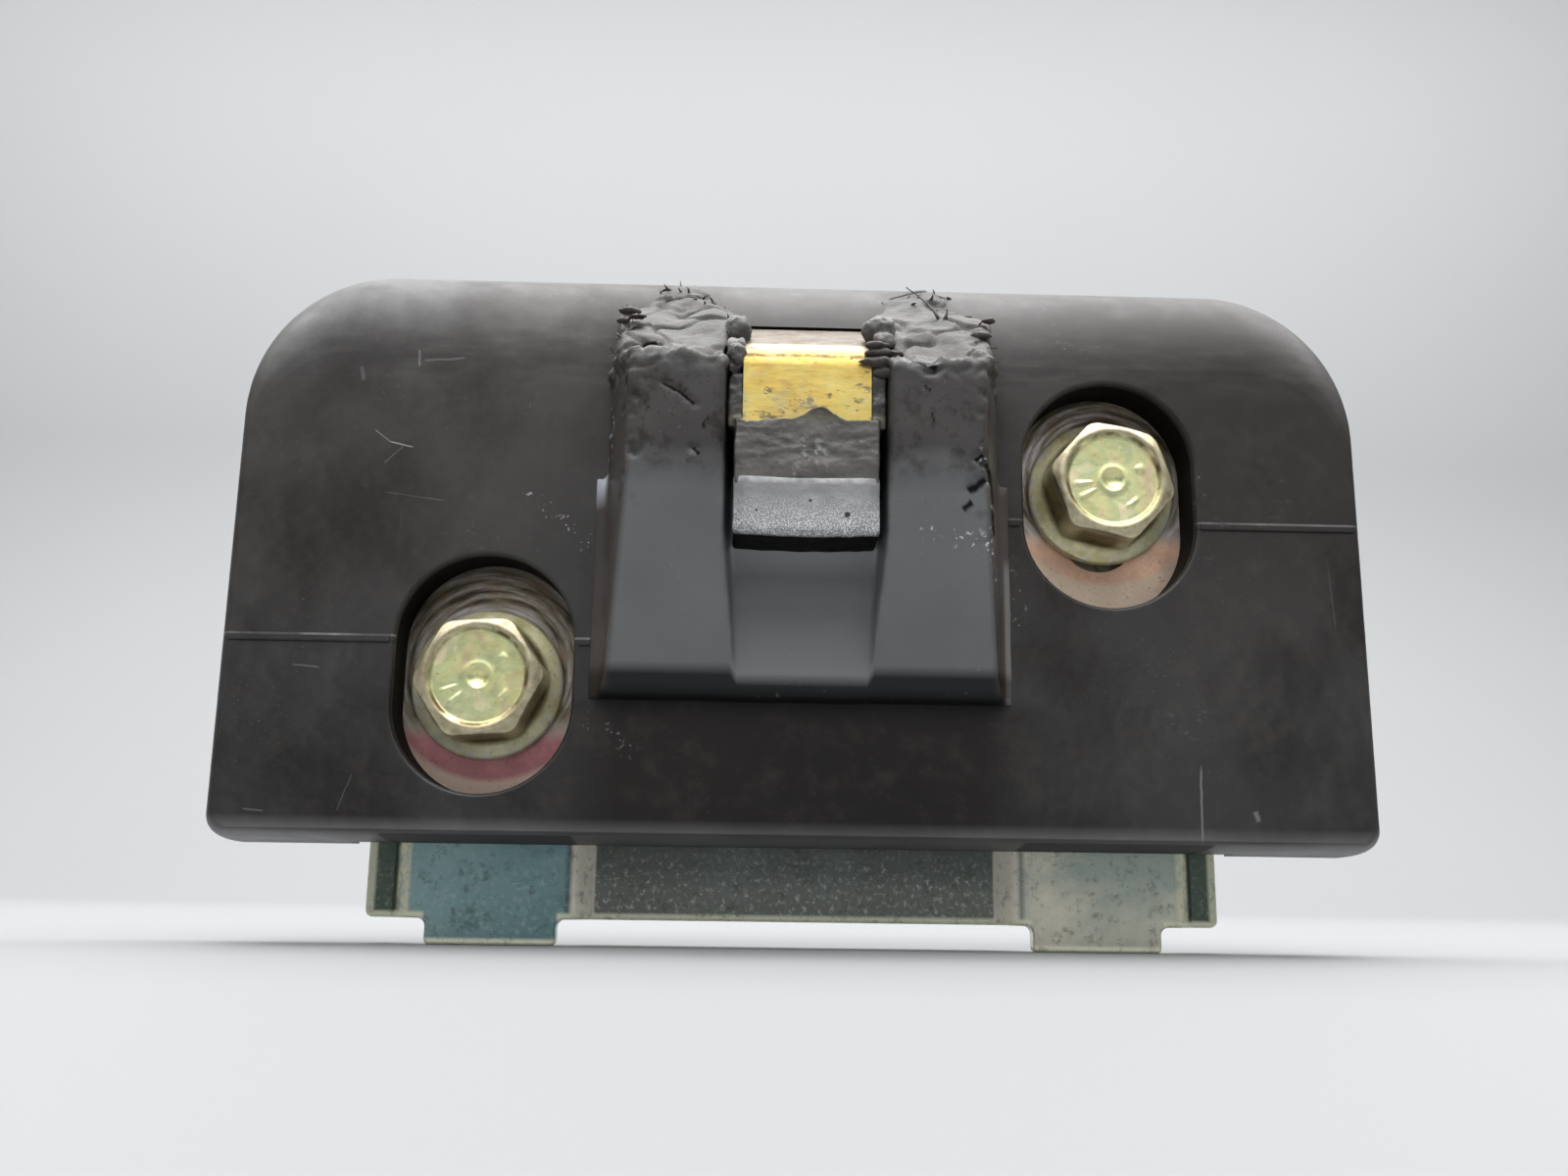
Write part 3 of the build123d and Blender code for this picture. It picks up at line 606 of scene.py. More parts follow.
def bracket_zinc():
    """Bracket: blue-green on the bolt panels, olive in the middle, brassy on the bends and edges, with
    painted reflections on the bends and painted highlights on the edges.
    """
    m = Nodes("zinc_bracket")
    aside = m.math("ABSOLUTE", m.x)
    cloud = m.noise(50, 5, 0.6, distortion=0.8)
    blue = m.mix(m.band(cloud, 0.3, 0.7), (0.18, 0.31, 0.33), (0.31, 0.46, 0.47))
    straw = m.mix(m.band(cloud, 0.35, 0.65), (0.43, 0.5, 0.44), (0.88, 0.82, 0.66))
    olive = m.mix(m.band(cloud, 0.3, 0.7), (0.1, 0.108, 0.095), (0.16, 0.19, 0.18))
    olive = m.mix(m.band(m.z, -0.0325, -0.035, 0.0, 0.3), olive, (0.32, 0.34, 0.31))
    drift = m.times(m.minus(cloud, 0.5), 0.03)
    panel = m.mix(m.band(m.plus(m.x, drift), 0.012, 0.03), blue, straw)
    m.colour = m.mix(m.past(aside, panel_inner, 0.0005), olive, panel)
    m.paint((0.1, 0.13, 0.105), m.past(aside, panel_outer, 0.0004))
    past_inner = m.minus(aside, panel_inner)
    past_outer = m.minus(aside, panel_outer)
    # the bends are painted bright: painted reflections of the surroundings
    inner_bend_reflection = m.between(past_inner, -0.0016, -0.0011, 0.0008, 0.0013)
    outer_bend_reflection = m.between(past_outer, -0.0015, -0.0011, 0.0002, 0.0007)
    bend_reflections = m.plus(inner_bend_reflection, outer_bend_reflection)
    fret = m.band(m.noise(800, 3, 0.6), 0.4, 0.6, 0.35, 1.0)
    m.paint((0.07, 0.085, 0.07), m.between(past_inner, 0.0006, 0.0009, 0.0014, 0.0019), 0.55)
    m.paint((1.0, 0.95, 0.8), inner_bend_reflection)
    m.paint((0.86, 0.84, 0.6), outer_bend_reflection, fret)
    # painted highlights along the sheared lower edges and the flange ends
    tabs = m.around(aside, tab_inner, tab_outer, 0.0002)
    tab_edge_highlight = m.near(m.z, bracket_low.z, 0.9, 0.5)
    middle_edge_highlight = m.near(m.z, bracket_low.z, 3.8, 3.4)
    middle_edge_highlight = m.times(middle_edge_highlight, m.minus(1.0, tabs))
    end = m.near(aside, bracket_high.x, -1.2, -0.8)
    edges = m.most(m.most(tab_edge_highlight, middle_edge_highlight), m.times(end, 0.8))
    m.paint((0.9, 0.92, 0.7), edges, 0.95)
    speckle = m.spots(0.53, 0.68, 1500, 4, 0.7)
    low_down = m.band(m.z, -0.03, -0.035)
    middle = m.band(past_inner, -0.0001, -0.0007, 0.2, 0.62)
    share = m.plus(m.times(low_down, middle), 0.12)
    m.paint((0.62, 0.64, 0.58), speckle, share)
    dark = m.spots(0.54, 0.68, 800, 5, 0.7)
    m.paint((0.06, 0.075, 0.055), dark, 0.5)
    metal = m.band(m.most(edges, bend_reflections), 0, 1, 0.85, 0.1)
    return m.worn((300, 0.24, 0.42), (1600, 0.3, 0.00007), metal)


def bolt_zinc(side):
    """Yellow-green chromate, greenest in the dish, worn pale on the rim and browned in the corners."""
    m = Nodes("bolt_zinc_" + side)
    axis_x, axis_z = bolt_axis(side)
    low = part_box("bolt_" + side)[0]
    reach = m.radius(axis_x, axis_z)
    cloud = m.noise(260, 5, 0.6, distortion=0.8)
    green = m.ramp(
        cloud,
        (0.34, (0.7, 0.58, 0.38)),
        (0.45, (0.74, 0.72, 0.36)),
        (0.55, (0.6, 0.66, 0.36)),
        (0.68, (0.86, 0.78, 0.5)),
    )
    rim = m.mix(m.spots(0.35, 0.65, 700, 4, 0.6), (0.36, 0.31, 0.19), (0.56, 0.51, 0.36))
    m.colour = m.mix(m.band(reach, 0.0054, 0.0057), green, rim)
    flats = m.mix(m.spots(0.35, 0.65, 420, 5, 0.65), (0.24, 0.17, 0.09), (0.4, 0.33, 0.18))
    m.paint(flats, m.near(m.y, low.y, 1.2, 1.8))
    flange = m.mix(m.spots(0.35, 0.65, 300, 5, 0.65), (0.62, 0.56, 0.28), (0.95, 0.93, 0.62))
    m.paint(flange, m.band(reach, 0.0068, 0.0074))
    pale = m.times(m.near(m.y, low.y, 5.8, 6.4), m.spots(0.48, 0.6, 500, 3, 0.6))
    m.paint((0.76, 0.75, 0.72), pale, 0.7)
    groove = m.between(reach, 0.005, 0.0053, 0.0055, 0.0058)
    m.paint((0.16, 0.11, 0.06), groove, m.spots(0.35, 0.6, 350, 3))
    grime = m.spots(0.62, 0.72, 1900, 3, 0.6)
    m.paint((0.1, 0.08, 0.05), grime, 0.5)
    metal = m.band(reach, 0.0068, 0.0074, 0.85, 0.5)
    return m.worn((800, 0.32, 0.48), (1400, 0.3, 0.00008), metal)


# ---- mesh helpers

def placed(name, data):
    """A new object in the scene."""
    made = bpy.data.objects.new(name, data)
    bpy.context.scene.collection.objects.link(made)
    return made


def add_piece(name, mesh, material, body):
    """Puts a smooth-shaded piece in the scene, riding on one of the CAD's bodies."""
    piece = placed(name, mesh)
    mesh.materials.clear()
    mesh.materials.append(material)
    mesh.shade_smooth()
    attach(piece, body)
    return piece


def mesh_of(name, verts, faces):
    mesh = bpy.data.meshes.new(name)
    mesh.from_pydata([tuple(v) for v in verts], [], faces)
    mesh.update()
    return mesh


def remeshed(source, name, voxel):
    """The closed skin of a bmesh as a mesh of even cells; the bmesh is used up."""
    start = bpy.data.meshes.new(name)
    source.to_mesh(start)
    source.free()
    holder = placed(name, start)
    remesh = holder.modifiers.new("remesh", "REMESH")
    remesh.mode = "VOXEL"
    remesh.voxel_size = voxel
    bpy.context.view_layer.update()
    made = bpy.data.meshes.new_from_object(holder.evaluated_get(bpy.context.evaluated_depsgraph_get()))
    bpy.data.objects.remove(holder)
    bpy.data.meshes.remove(start)
    return made


def softened_mesh(node, voxel, rounds):
    """A CAD node's shape as an even fine mesh with its sharp edges eased."""
    source = bmesh.new()
    source.from_mesh(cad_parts[node].data)
    bmesh.ops.remove_doubles(source, verts=source.verts, dist=1e-6)
    made = remeshed(source, node + "_start", voxel)
    for _ in range(rounds):
        smooth(made)
    return made


def read_points(mesh, kind="co"):
    values = np.zeros(len(mesh.vertices) * 3)
    mesh.vertices.foreach_get(kind, values)
    return values.reshape(-1, 3)


def points_and_normals(mesh):
    return read_points(mesh), read_points(mesh, "normal")


def write_points(mesh, points):
    mesh.vertices.foreach_set("co", points.ravel())
    mesh.update()


def smooth(mesh, share=0.5):
    """Moves each vertex towards the middle of its neighbours."""
    points = read_points(mesh)
    edges = np.zeros(len(mesh.edges) * 2, int)
    mesh.edges.foreach_get("vertices", edges)
    first, second = edges.reshape(-1, 2).T
    total = np.zeros_like(points)
    count = np.zeros(len(points))
    for one, other in ((first, second), (second, first)):
        np.add.at(total, one, points[other])
        np.add.at(count, one, 1)
    write_points(mesh, points + share * (total / count[:, None] - points))


def step(values, low, high):
    """Smooth 0..1 as values go from low to high."""
    share = np.clip((values - low) / (high - low), 0, 1)
    return share * share * (3 - 2 * share)


def bell(values, place, width):
    """1 at a place, falling to 0 a little over one width away."""
    return np.exp(-(((values - place) / width) ** 2))


def clouds(points, size, octaves=4, squash=(1, 1, 1), seed=0.0):
    """Fractal noise, about -1..1, whose largest lumps are about size across."""
    scaled = points / size * np.array(squash) + seed
    return np.array([noise.fractal(Vector(p), 0.8, 2.1, octaves) for p in scaled])


def from_segment(points, start, end):
    """Distance of each point from a straight segment."""
    start, end = np.array(start), np.array(end)
    run = end - start
    share = np.clip((points - start) @ run / max(run @ run, 1e-12), 0, 1)
    return np.linalg.norm(points - (start + share[:, None] * run), axis=1)


def ribbon(points, widths, thickness, side):
    """A thin tapering strip along some points, as vertices and faces of its own."""
    verts, faces = [], []
    for point, width in zip(points, widths):
        for across, over in ((-1, 0), (0, -1), (1, 0), (0, 1)):
            normal = side.orthogonal().normalized()
            verts.append(point + side * (across * width / 2) + normal * (over * thickness / 2))
    for ring in range(len(points) - 1):
        for corner in range(4):
            a = ring * 4 + corner
            b = ring * 4 + (corner + 1) % 4
            faces.append((a, b, b + 4, a + 4))
    faces.append((3, 2, 1, 0))
    last = (len(points) - 1) * 4
    faces.append((last, last + 1, last + 2, last + 3))
    return verts, faces


# ---- guide block

# Cuts and tears in the rubber: two ends in millimetres, radius and depth
BLOCK_CUTS = (
    ((-18.4, -23.6, 23.8), (-16.6, -23.2, 24.2), 0.8, 1.9),
    ((-20.6, -20.0, 27.2), (-17.6, -20.6, 28.2), 0.6, 1.3),
    ((18.6, -22.4, 25.6), (21.6, -21.6, 26.8), 0.5, 1.1),
    ((11.2, -24.0, 22.4), (14.2, -24.4, 21.0), 0.5, 0.9),
    ((-15.9, -24.8, 18.9), (-14.2, -24.8, 18.0), 0.28, 0.20),
    ((-14.4, -24.8, 18.2), (-12.2, -24.8, 16.4), 0.24, 0.22),
    ((19.2, -24.6, 10.6), (20.6, -23.6, 9.4), 0.7, 0.9),
    ((20.2, -23.6, 9.6), (20.9, -21.6, 7.0), 0.6, 0.8),
    ((20.6, -22.6, 6.4), (20.8, -20.6, 3.4), 0.45, 0.4),
    ((18.0, -24.8, 10.8), (19.0, -24.8, 11.6), 0.3, 0.4),
    ((17.4, -24.8, 7.4), (19.4, -24.6, 9.0), 0.6, 0.7),
    ((16.9, -24.8, 5.6), (18.0, -24.8, 6.4), 0.45, 0.4),
    ((-12.4, -24.8, 11.6), (-11.6, -24.8, 10.8), 0.3, 0.3),
)


def torn_guide_block():
    mesh = softened_mesh("guide_block", 0.36 * MM, 4)
    points, normals = points_and_normals(mesh)
    x, y, z = points.T
    wall = np.abs(x)

    # slow unevenness of the moulding
    shift = clouds(points, 9 * MM, 2) * 0.10 * MM

    # torn tops: lumps, creases across, and a lip that hangs over the upright front
    on_ribs = wall > channel - 0.6 * MM
    high = np.flatnonzero(on_ribs & (z > shoulder - 4 * MM) & (y < rib_back))
    spot = points[high]
    edge_line = shoulder + 1.7 * MM * clouds(spot * (1, 0, 0.2), 5.5 * MM, 3)
    torn = step(spot[:, 2], edge_line - 0.5 * MM, edge_line + 1.3 * MM)
    lumps = clouds(spot, 8.0 * MM, 2, (0.9, 1, 1.0), 3.7)
    creases = np.abs(clouds(spot, 7.0 * MM, 2, (0.9, 1.1, 1.1), 9.1))
    fine = clouds(spot, 1.3 * MM, 3, (1, 1, 1), 5.3)
    shift[high] += torn * (1.2 * lumps - 7.0 * (0.09 - creases).clip(0) + 0.12 * fine) * MM
    lip = bell(spot[:, 2], edge_line + 0.4 * MM, 0.9 * MM)
    crack = bell(spot[:, 2], edge_line - 0.9 * MM, 0.4 * MM)
    shift[high] += (0.50 * lip - 0.25 * crack) * (0.3 + 1.1 * fine) * MM
    points = points + normals * shift[:, None]

    # the torn tops lean in at their sides, and round off at the crown
    lean = step(z, shoulder, block_high.z) * on_ribs
    points[:, 0] *= 1 - 0.045 * lean
    rib_middle = (channel + block_side) / 2
    off_middle = (np.abs(points[:, 0]) - rib_middle) / (block_side - rib_middle)
    crown = step(z, block_high.z - 9 * MM, block_high.z) * on_ribs * (y < rib_back)
    points[:, 1] += crown * np.clip(off_middle ** 2, 0, 1.2) * 1.6 * MM
    points[:, 2] -= crown * np.clip(off_middle ** 2, 0, 1.2) * 1.8 * MM

    # cuts and tears
    for start, end, radius, depth in BLOCK_CUTS:
        away = from_segment(points, np.array(start) * MM, np.array(end) * MM)
        near = np.flatnonzero(away < 3 * radius * MM)
        rough = 0.7 + 0.9 * clouds(points[near], 0.9 * MM, 3, seed=1.3)
        dent = bell(away[near], 0, radius * MM) * depth * MM * rough
        points[near] -= normals[near] * dent[:, None]
    # nicks along the ribs' outer front edges
    edge = np.flatnonzero((wall > 18.4 * MM) & (y < rib_front + 3 * MM) & (z > -8 * MM) & (z < shoulder))
    nicks = (clouds(points[edge], 1.4 * MM, 3, seed=7.7) - 0.25).clip(0) * 0.5 * MM
    points[edge] -= normals[edge] * nicks[:, None]

    write_points(mesh, points)
    piece = add_piece("torn_guide_block", mesh, rubber, "striker")
    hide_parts("guide_block")
    return mesh


def shreds(block_mesh):
    """Curled crumbs of rubber standing up along the torn edges."""
    chance = random.Random(11)
    points, normals = points_and_normals(block_mesh)
    x, y, z = points.T
    wall = np.abs(x)
    seen = (y < -9 * MM) & (z > shoulder) & (normals[:, 1] < 0.2)
    outer = np.flatnonzero(seen & (wall > 19.2 * MM))
    inner = np.flatnonzero(seen & (wall > channel) & (wall < 9.6 * MM))
    crown = np.flatnonzero(seen & (wall > channel) & (z > block_high.z - 4 * MM))
    verts, faces = [], []

    def grow(root, direction, length, width, curl):
        """One curled strip that tapers away from its root."""
        side = direction.cross(Vector((chance.uniform(-1, 1), chance.uniform(-1, 1), 1))).normalized()
        bend = direction.cross(side).normalized() * curl
        place, heading = Vector(root), direction.normalized()
        line = [place.copy()]
        count = 9
        for _ in range(count):
            sway = Vector(chance.uniform(-0.18, 0.18) for _ in range(3))
            heading = (heading + bend / count + sway).normalized()
            place = place + heading * length / count
            line.append(place.copy())
        widths = [width * (1 - 0.85 * i / count) * chance.uniform(0.7, 1.25) for i in range(count + 1)]
        more, cells = ribbon(line, widths, 0.16 * MM, side)
        start = len(verts)
        verts.extend(more)
        faces.extend([tuple(i + start for i in cell) for cell in cells])

    for group, count, longest in ((outer, 20, 1.5), (inner, 9, 1.0), (crown, 22, 1.3)):
        for _ in range(count):
            index = int(group[chance.randrange(len(group))])
            aside = math.copysign(chance.uniform(0.2, 0.9), x[index])
            outward = Vector((aside, -0.3, chance.uniform(-0.1, 0.8)))
            direction = outward + Vector(normals[index]) * 0.6
            root = Vector(points[index]) - direction.normalized() * 0.15 * MM
            length = chance.uniform(0.4, 1.0) * longest * MM
            grow(root, direction, length, chance.uniform(0.25, 0.7) * MM, chance.uniform(-1.6, 1.6))
    # one long curl stands up from the right rib's inner corner
    target = np.array((15.0, -18.5, 31.5)) * MM
    index = int(np.argmin(np.linalg.norm(points - target, axis=1)))
    root = Vector(points[index])
    grow(root, Vector((-0.40, -0.25, 1.0)), 5.6 * MM, 0.95 * MM, 0.6)
    beside = root + Vector((0.7, 0, -0.2)) * MM
    grow(beside, Vector((0.5, -0.4, 0.7)), 1.9 * MM, 0.8 * MM, -1.2)
    mesh = mesh_of("torn_shreds", verts, faces)
    add_piece("torn_shreds", mesh, shred_rubber, "striker")


# Torn rubber over the strap's upper corners: middle and half sizes in millimetres
GREY_LUMPS = (
    ((-7.7, -20.2, 27.1), (1.45, 1.9, 1.55)),
    ((-8.3, -18.6, 28.0), (1.2, 2.2, 1.2)),
    ((-7.9, -22.2, 23.2), (1.15, 1.5, 1.35)),
    ((8.1, -20.0, 27.4), (1.9, 2.2, 1.7)),
    ((8.6, -21.8, 25.4), (1.3, 1.3, 1.1)),
)
DARK_FLAPS = (
    ((8.2, -22.9, 22.5), (2.7, 0.8, 0.50)),
    ((8.4, -22.6, 23.6), (2.2, 0.9, 0.45)),
    ((8.7, -22.7, 21.3), (1.5, 0.7, 0.55)),
    ((7.7, -22.6, 24.5), (1.4, 0.9, 0.35)),
    ((-20.3, -18.6, 29.6), (1.3, 0.8, 0.45)),
    ((-19.2, -19.6, 28.6), (1.1, 0.7, 0.40)),
    ((-20.9, -19.2, 28.2), (0.8, 0.7, 0.35)),
    ((21.0, -17.8, 29.8), (1.0, 0.7, 0.40)),
    ((19.8, -20.2, 27.0), (1.3, 0.6, 0.35)),
)


def torn_lumps(name, lumps, voxel, roughness, material):
    """Blobs run together into one piece, then roughened."""
    source = bmesh.new()
    for middle, sizes in lumps:
        place = Matrix.Translation(Vector(middle) * MM) @ Matrix.Diagonal((*(Vector(sizes) * MM), 1))
        bmesh.ops.create_icosphere(source, subdivisions=3, radius=1.0, matrix=place)
    mesh = remeshed(source, name + "_start", voxel)
    points, normals = points_and_normals(mesh)
    shift = clouds(points, 2.2 * MM, 4, seed=4.4) * roughness * MM
    write_points(mesh, points + normals * shift[:, None])
    add_piece(name, mesh, material, "striker")


# ---- skin and pad on the catch

def worn_catch_sleeve():
    mesh = softened_mesh("catch_sleeve", 0.20 * MM, 2)
    points, normals = points_and_normals(mesh)
    x, y, z = points.T
    front = step(-y, 22.4 * MM, 23.0 * MM)
    # the skin's torn upper edge, with one pointed remnant standing up the strap
    edge = step(z, 13.6 * MM, 15.2 * MM) * front
    ragged = clouds(points * (1, 0, 0), 2.4 * MM, 4, seed=2.2) * 0.28 * MM
    remnant = bell(x, 1.4 * MM, 1.9 * MM) * 1.6 * MM
    moved = points.copy()
    moved[:, 2] += edge * (ragged + remnant)
    # its lower edge runs on behind the pad's worn upper edge
    moved[:, 2] -= np.exp(-(((z - pad_high.z) / (0.6 * MM)) ** 4)) * (y < -22.4 * MM) * 1.5 * MM
    # rubbed face
    rubbed = clouds(points, 2.2 * MM, 4, (0.5, 1, 1.3), 4.0) * 0.16 * MM * front
    # the strips on the strap's edges are frayed towards the bare steel
    strips = step(z, 15.5 * MM, 16.5 * MM)
    top = step(z, sleeve_high.z - 5.6 * MM, sleeve_high.z - 4.4 * MM)
    fray = clouds(points, 1.5 * MM, 4, seed=8.0) * (0.16 * strips + 0.35 * top) * MM
    crack = bell(z, sleeve_high.z - 5.0 * MM + 0.3 * x, 0.3 * MM) * strips
    fray -= crack * 0.6 * MM
    moved += normals * (rubbed + fray)[:, None]
    write_points(mesh, moved)
    piece = add_piece("worn_catch_skin", mesh, sleeve_finish, "striker")
    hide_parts("catch_sleeve")


def polished_pad():
    mesh = softened_mesh("catch_pad", 0.16 * MM, 4)
    points, normals = points_and_normals(mesh)
    x, y, z = points.T
    # its sides are rounded off and its lower edge bellies out in the middle
    belly = np.cos(np.clip(x / pad_high.x, -1, 1) * math.pi / 2) * step(-z, -4.5 * MM, -2.8 * MM)
    sides = step(np.abs(x), pad_high.x - 1.3 * MM, pad_high.x) * step(-y, -pad_low.y - 1.2 * MM, -pad_low.y)
    points[:, 1] += sides * 0.45 * MM
    points[:, 2] -= belly * 0.22 * MM
    # its upper edge is worn back
    points[:, 2] -= step(z, 7.4 * MM, 9.2 * MM) * (0.75 + 0.12 * np.cos(x / pad_high.x * 2.4)) * MM
    points += normals * (clouds(points, 1.8 * MM, 3, seed=6.0) * 0.05 * MM)[:, None]
    write_points(mesh, points)
    piece = add_piece("polished_catch_pad", mesh, pad_finish, "striker")
    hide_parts("catch_pad")


# ---- bolts

# Sizes in millimetres, turns in degrees
BOLT_SEGMENTS = 144
ACROSS_FLATS = 13.0
CORNER = 7.32             # the hexagon's eased corners, from the axis
TOP_RING = 6.1            # inner edge of the chamfer on top of the head
CHAMFER_SLOPE = 0.66      # how fast the chamfer drops outside that edge
CHAMFER_TOP_SLOPE = 0.62
DISH = 5.5
DISH_DEPTH = 0.5
DISH_RINGS = 32
DIMPLE = 1.15
FLANGE_RADIUS = 8.7
FLANGE_TOP_RADIUS = 8.5
FLANGE_EDGE = 1.1
FLANGE_SLOPE = 1.732      # the flange's top is a cone of 30 degrees
SEAT_RADIUS = 4.6
THREAD_PITCH = 1.25
THREAD_MAJOR = 3.98
THREAD_MINOR = 3.28
THREAD_RINGS = 118
POINT_CHAMFER = 0.9
BOLT_TURN = {"left": 4.0, "right": -12.0}

# Plain raised strokes in the dish: angle, distance from the axis, half width, half length
DISH_STROKES = (
    (200, 3.5, 0.22, 0.9),
    (222, 3.5, 0.22, 0.9),
    (35, 3.4, 0.45, 0.45),
    (320, 3.5, 0.75, 0.22),
)


def head_radius(turn):
    """Radius of the hexagon at an angle from one of its corners, with the corners eased."""
    flat = ACROSS_FLATS / 2 / math.cos(math.radians(turn % 60 - 30))
    over = max(0.0, flat - CORNER + 0.25)
    return flat - over + over / (1 + 4 * over)


def dish_height(radius, turn):
    """Depth below the head's top inside the dish: a dimple, and a few plain raised strokes."""
    depth = DISH_DEPTH + 0.10 * (1 - radius / DISH)
    depth += 0.45 * max(0.0, 1 - (radius / DIMPLE) ** 2)
    depth -= 0.10 * math.exp(-(((radius - 1.45) / 0.35) ** 2))
    for angle, at_radius, wide, long in DISH_STROKES:
        along = radius - at_radius
        aside = at_radius * math.radians((turn - angle + 180) % 360 - 180)
        reach = (along / long) ** 4 + (aside / wide) ** 4
        depth -= 0.13 * math.exp(-reach)
    return depth


def bolt_rings(turn, thread_turn, head, shank):
    """(radius, height) down one side of the bolt; height 0 is under the flange, minus is the head."""
    side = head_radius(turn)
    base = -FLANGE_EDGE - (FLANGE_TOP_RADIUS - side) / FLANGE_SLOPE
    chamfer = -head + (side - TOP_RING) * CHAMFER_SLOPE
    rings = []
    # threaded shank, from its point up to the flange
    for i in range(THREAD_RINGS + 1):
        height = shank * (1 - i / THREAD_RINGS)
        phase = (height / THREAD_PITCH - thread_turn / 360) % 1
        crest = min(1.0, max(0.0, 2.6 * abs(phase - 0.5) - 0.15))
        radius = THREAD_MAJOR - (THREAD_MAJOR - THREAD_MINOR) * crest
        radius = min(radius, THREAD_MAJOR - POINT_CHAMFER + shank - height)
        rings.append((radius, height))
    # flange: flat seat, rounded rim, cone
    rings += [
        (SEAT_RADIUS, 0.0),
        (FLANGE_RADIUS - 0.4, 0.0),
        (FLANGE_RADIUS - 0.08, -0.12),
        (FLANGE_RADIUS, -0.35),
        (FLANGE_RADIUS, -0.85),
        (FLANGE_RADIUS - 0.08, -1.05),
        (FLANGE_TOP_RADIUS - 0.1, -FLANGE_EDGE - 0.06),
        (side + 0.75, base + 0.75 / FLANGE_SLOPE),
    ]
    # hexagon: fillet at its foot, flats, and the chamfer on top
    rings += [(side + 0.28, base + 0.12), (side + 0.06, base - 0.12), (side, base - 0.45)]
    rings += [(side, base + (chamfer - base) * share) for share in (0.3, 0.5, 0.7, 0.85, 0.96)]
    rings += [(side - 0.06, chamfer - 0.05), (side - 0.22, chamfer - 0.13)]
    middle = (side - 0.22 + TOP_RING) / 2
    rings += [(middle, -head + (middle - TOP_RING) * CHAMFER_TOP_SLOPE), (TOP_RING + 0.08, -head + 0.05)]
    # raised rim, then down into the dish
    rings += [
        (TOP_RING - 0.1, -head),
        (DISH + 0.28, -head),
        (DISH + 0.08, -head + 0.05),
        (DISH - 0.1, -head + 0.2),
        (DISH - 0.25, -head + 0.42),
    ]
    for i in range(DISH_RINGS):
        radius = (DISH - 0.38) * (1 - i / DISH_RINGS)
        rings.append((radius, -head + dish_height(radius, turn)))
    return rings


def detailed_bolt(side):
    """A flange bolt with its thread, chamfers and dish, swept round the CAD bolt's axis."""
    node = "bolt_" + side
    low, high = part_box(node)
    axis_x, axis_z = bolt_axis(side)
    under_head = plate_low.y - 0.05 * MM
    head = (under_head - low.y) / MM
    shank = (high.y - under_head) / MM
    columns = []
    for i in range(BOLT_SEGMENTS):
        angle = 360 * i / BOLT_SEGMENTS
        columns.append(bolt_rings(angle - BOLT_TURN[side], angle, head, shank))
    ring_count = len(columns[0])
    verts = [Vector((axis_x, high.y, axis_z))]
    for ring in range(ring_count):
        for i, column in enumerate(columns):
            angle = 2 * math.pi * i / BOLT_SEGMENTS
            radius, height = column[ring]
            verts.append(Vector((
                axis_x + radius * math.cos(angle) * MM,
                under_head + height * MM,
                axis_z + radius * math.sin(angle) * MM,
            )))
    verts.append(Vector((axis_x, low.y + (DISH_DEPTH + 0.55) * MM, axis_z)))
    faces = []
    for i in range(BOLT_SEGMENTS):
        j = (i + 1) % BOLT_SEGMENTS
        faces.append((0, 1 + i, 1 + j))
        for ring in range(ring_count - 1):
            a, b = 1 + ring * BOLT_SEGMENTS + i, 1 + ring * BOLT_SEGMENTS + j
            faces.append((a, a + BOLT_SEGMENTS, b + BOLT_SEGMENTS, b))
        last = 1 + (ring_count - 1) * BOLT_SEGMENTS
        faces.append((last + i, len(verts) - 1, last + j))
    mesh = mesh_of(node + "_detail", verts, faces)
    piece = add_piece("flange_bolt_" + side, mesh, bolt_finish[side], node)
    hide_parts(node)


# ---- finishing CAD nodes

def dress(node, material):
    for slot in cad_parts[node].material_slots:
        slot.material = material


plastic = cover_plastic()
rubber = block_rubber()
sleeve_finish = sleeve_rubber()
pad_finish = worn_pad()
bolt_finish = {side: bolt_zinc(side) for side in SIDES}
shred_tints = [(0.03, 0.022, 0.02), (0.07, 0.06, 0.055)]
lump_tints = [(0.05, 0.047, 0.044), (0.10, 0.098, 0.095), (0.17, 0.168, 0.163)]
nut_tints = [(0.36, 0.35, 0.30), (0.55, 0.53, 0.46)]
rivet_tints = [(0.40, 0.39, 0.35), (0.60, 0.58, 0.54)]
spring_tints = [(0.07, 0.07, 0.07), (0.14, 0.135, 0.13)]
shred_rubber = drifting("shred_rubber", shred_tints, 0.6, 0.8, 900, metallic=0.0)
lump_rubber = drifting("lump_rubber", lump_tints, 0.5, 0.7, 420, metallic=0.0)
nut_finish = drifting("nut_steel", nut_tints, 0.3, 0.45, 200)

dress("cover_shell", plastic)
dress("catch_strap", yellow_zinc())
dress("base_plate", plate_zinc())
dress("strap_rivets", drifting("rivet_steel", rivet_tints, 0.3, 0.45, 200))
dress("push_retainers", drifting("spring_steel", spring_tints, 0.35, 0.5, 240, metallic=0.8))
dress("bracket", bracket_zinc())
for side in SIDES:
    dress("weld_nut_" + side, nut_finish)
    detailed_bolt(side)

block_mesh = torn_guide_block()
shreds(block_mesh)
torn_lumps("torn_grey_lumps", GREY_LUMPS, 0.18 * MM, 0.45, lump_rubber)
torn_lumps("torn_dark_flaps", DARK_FLAPS, 0.14 * MM, 0.30, shred_rubber)
worn_catch_sleeve()
polished_pad()


# ---- stage, lights and camera

def plain_material(name, colour, roughness):
    m = Nodes(name)
    m.colour = m.mix(m.noise(6, 3, 0.5), colour, [c * 0.96 for c in colour])
    return m.finish(roughness)


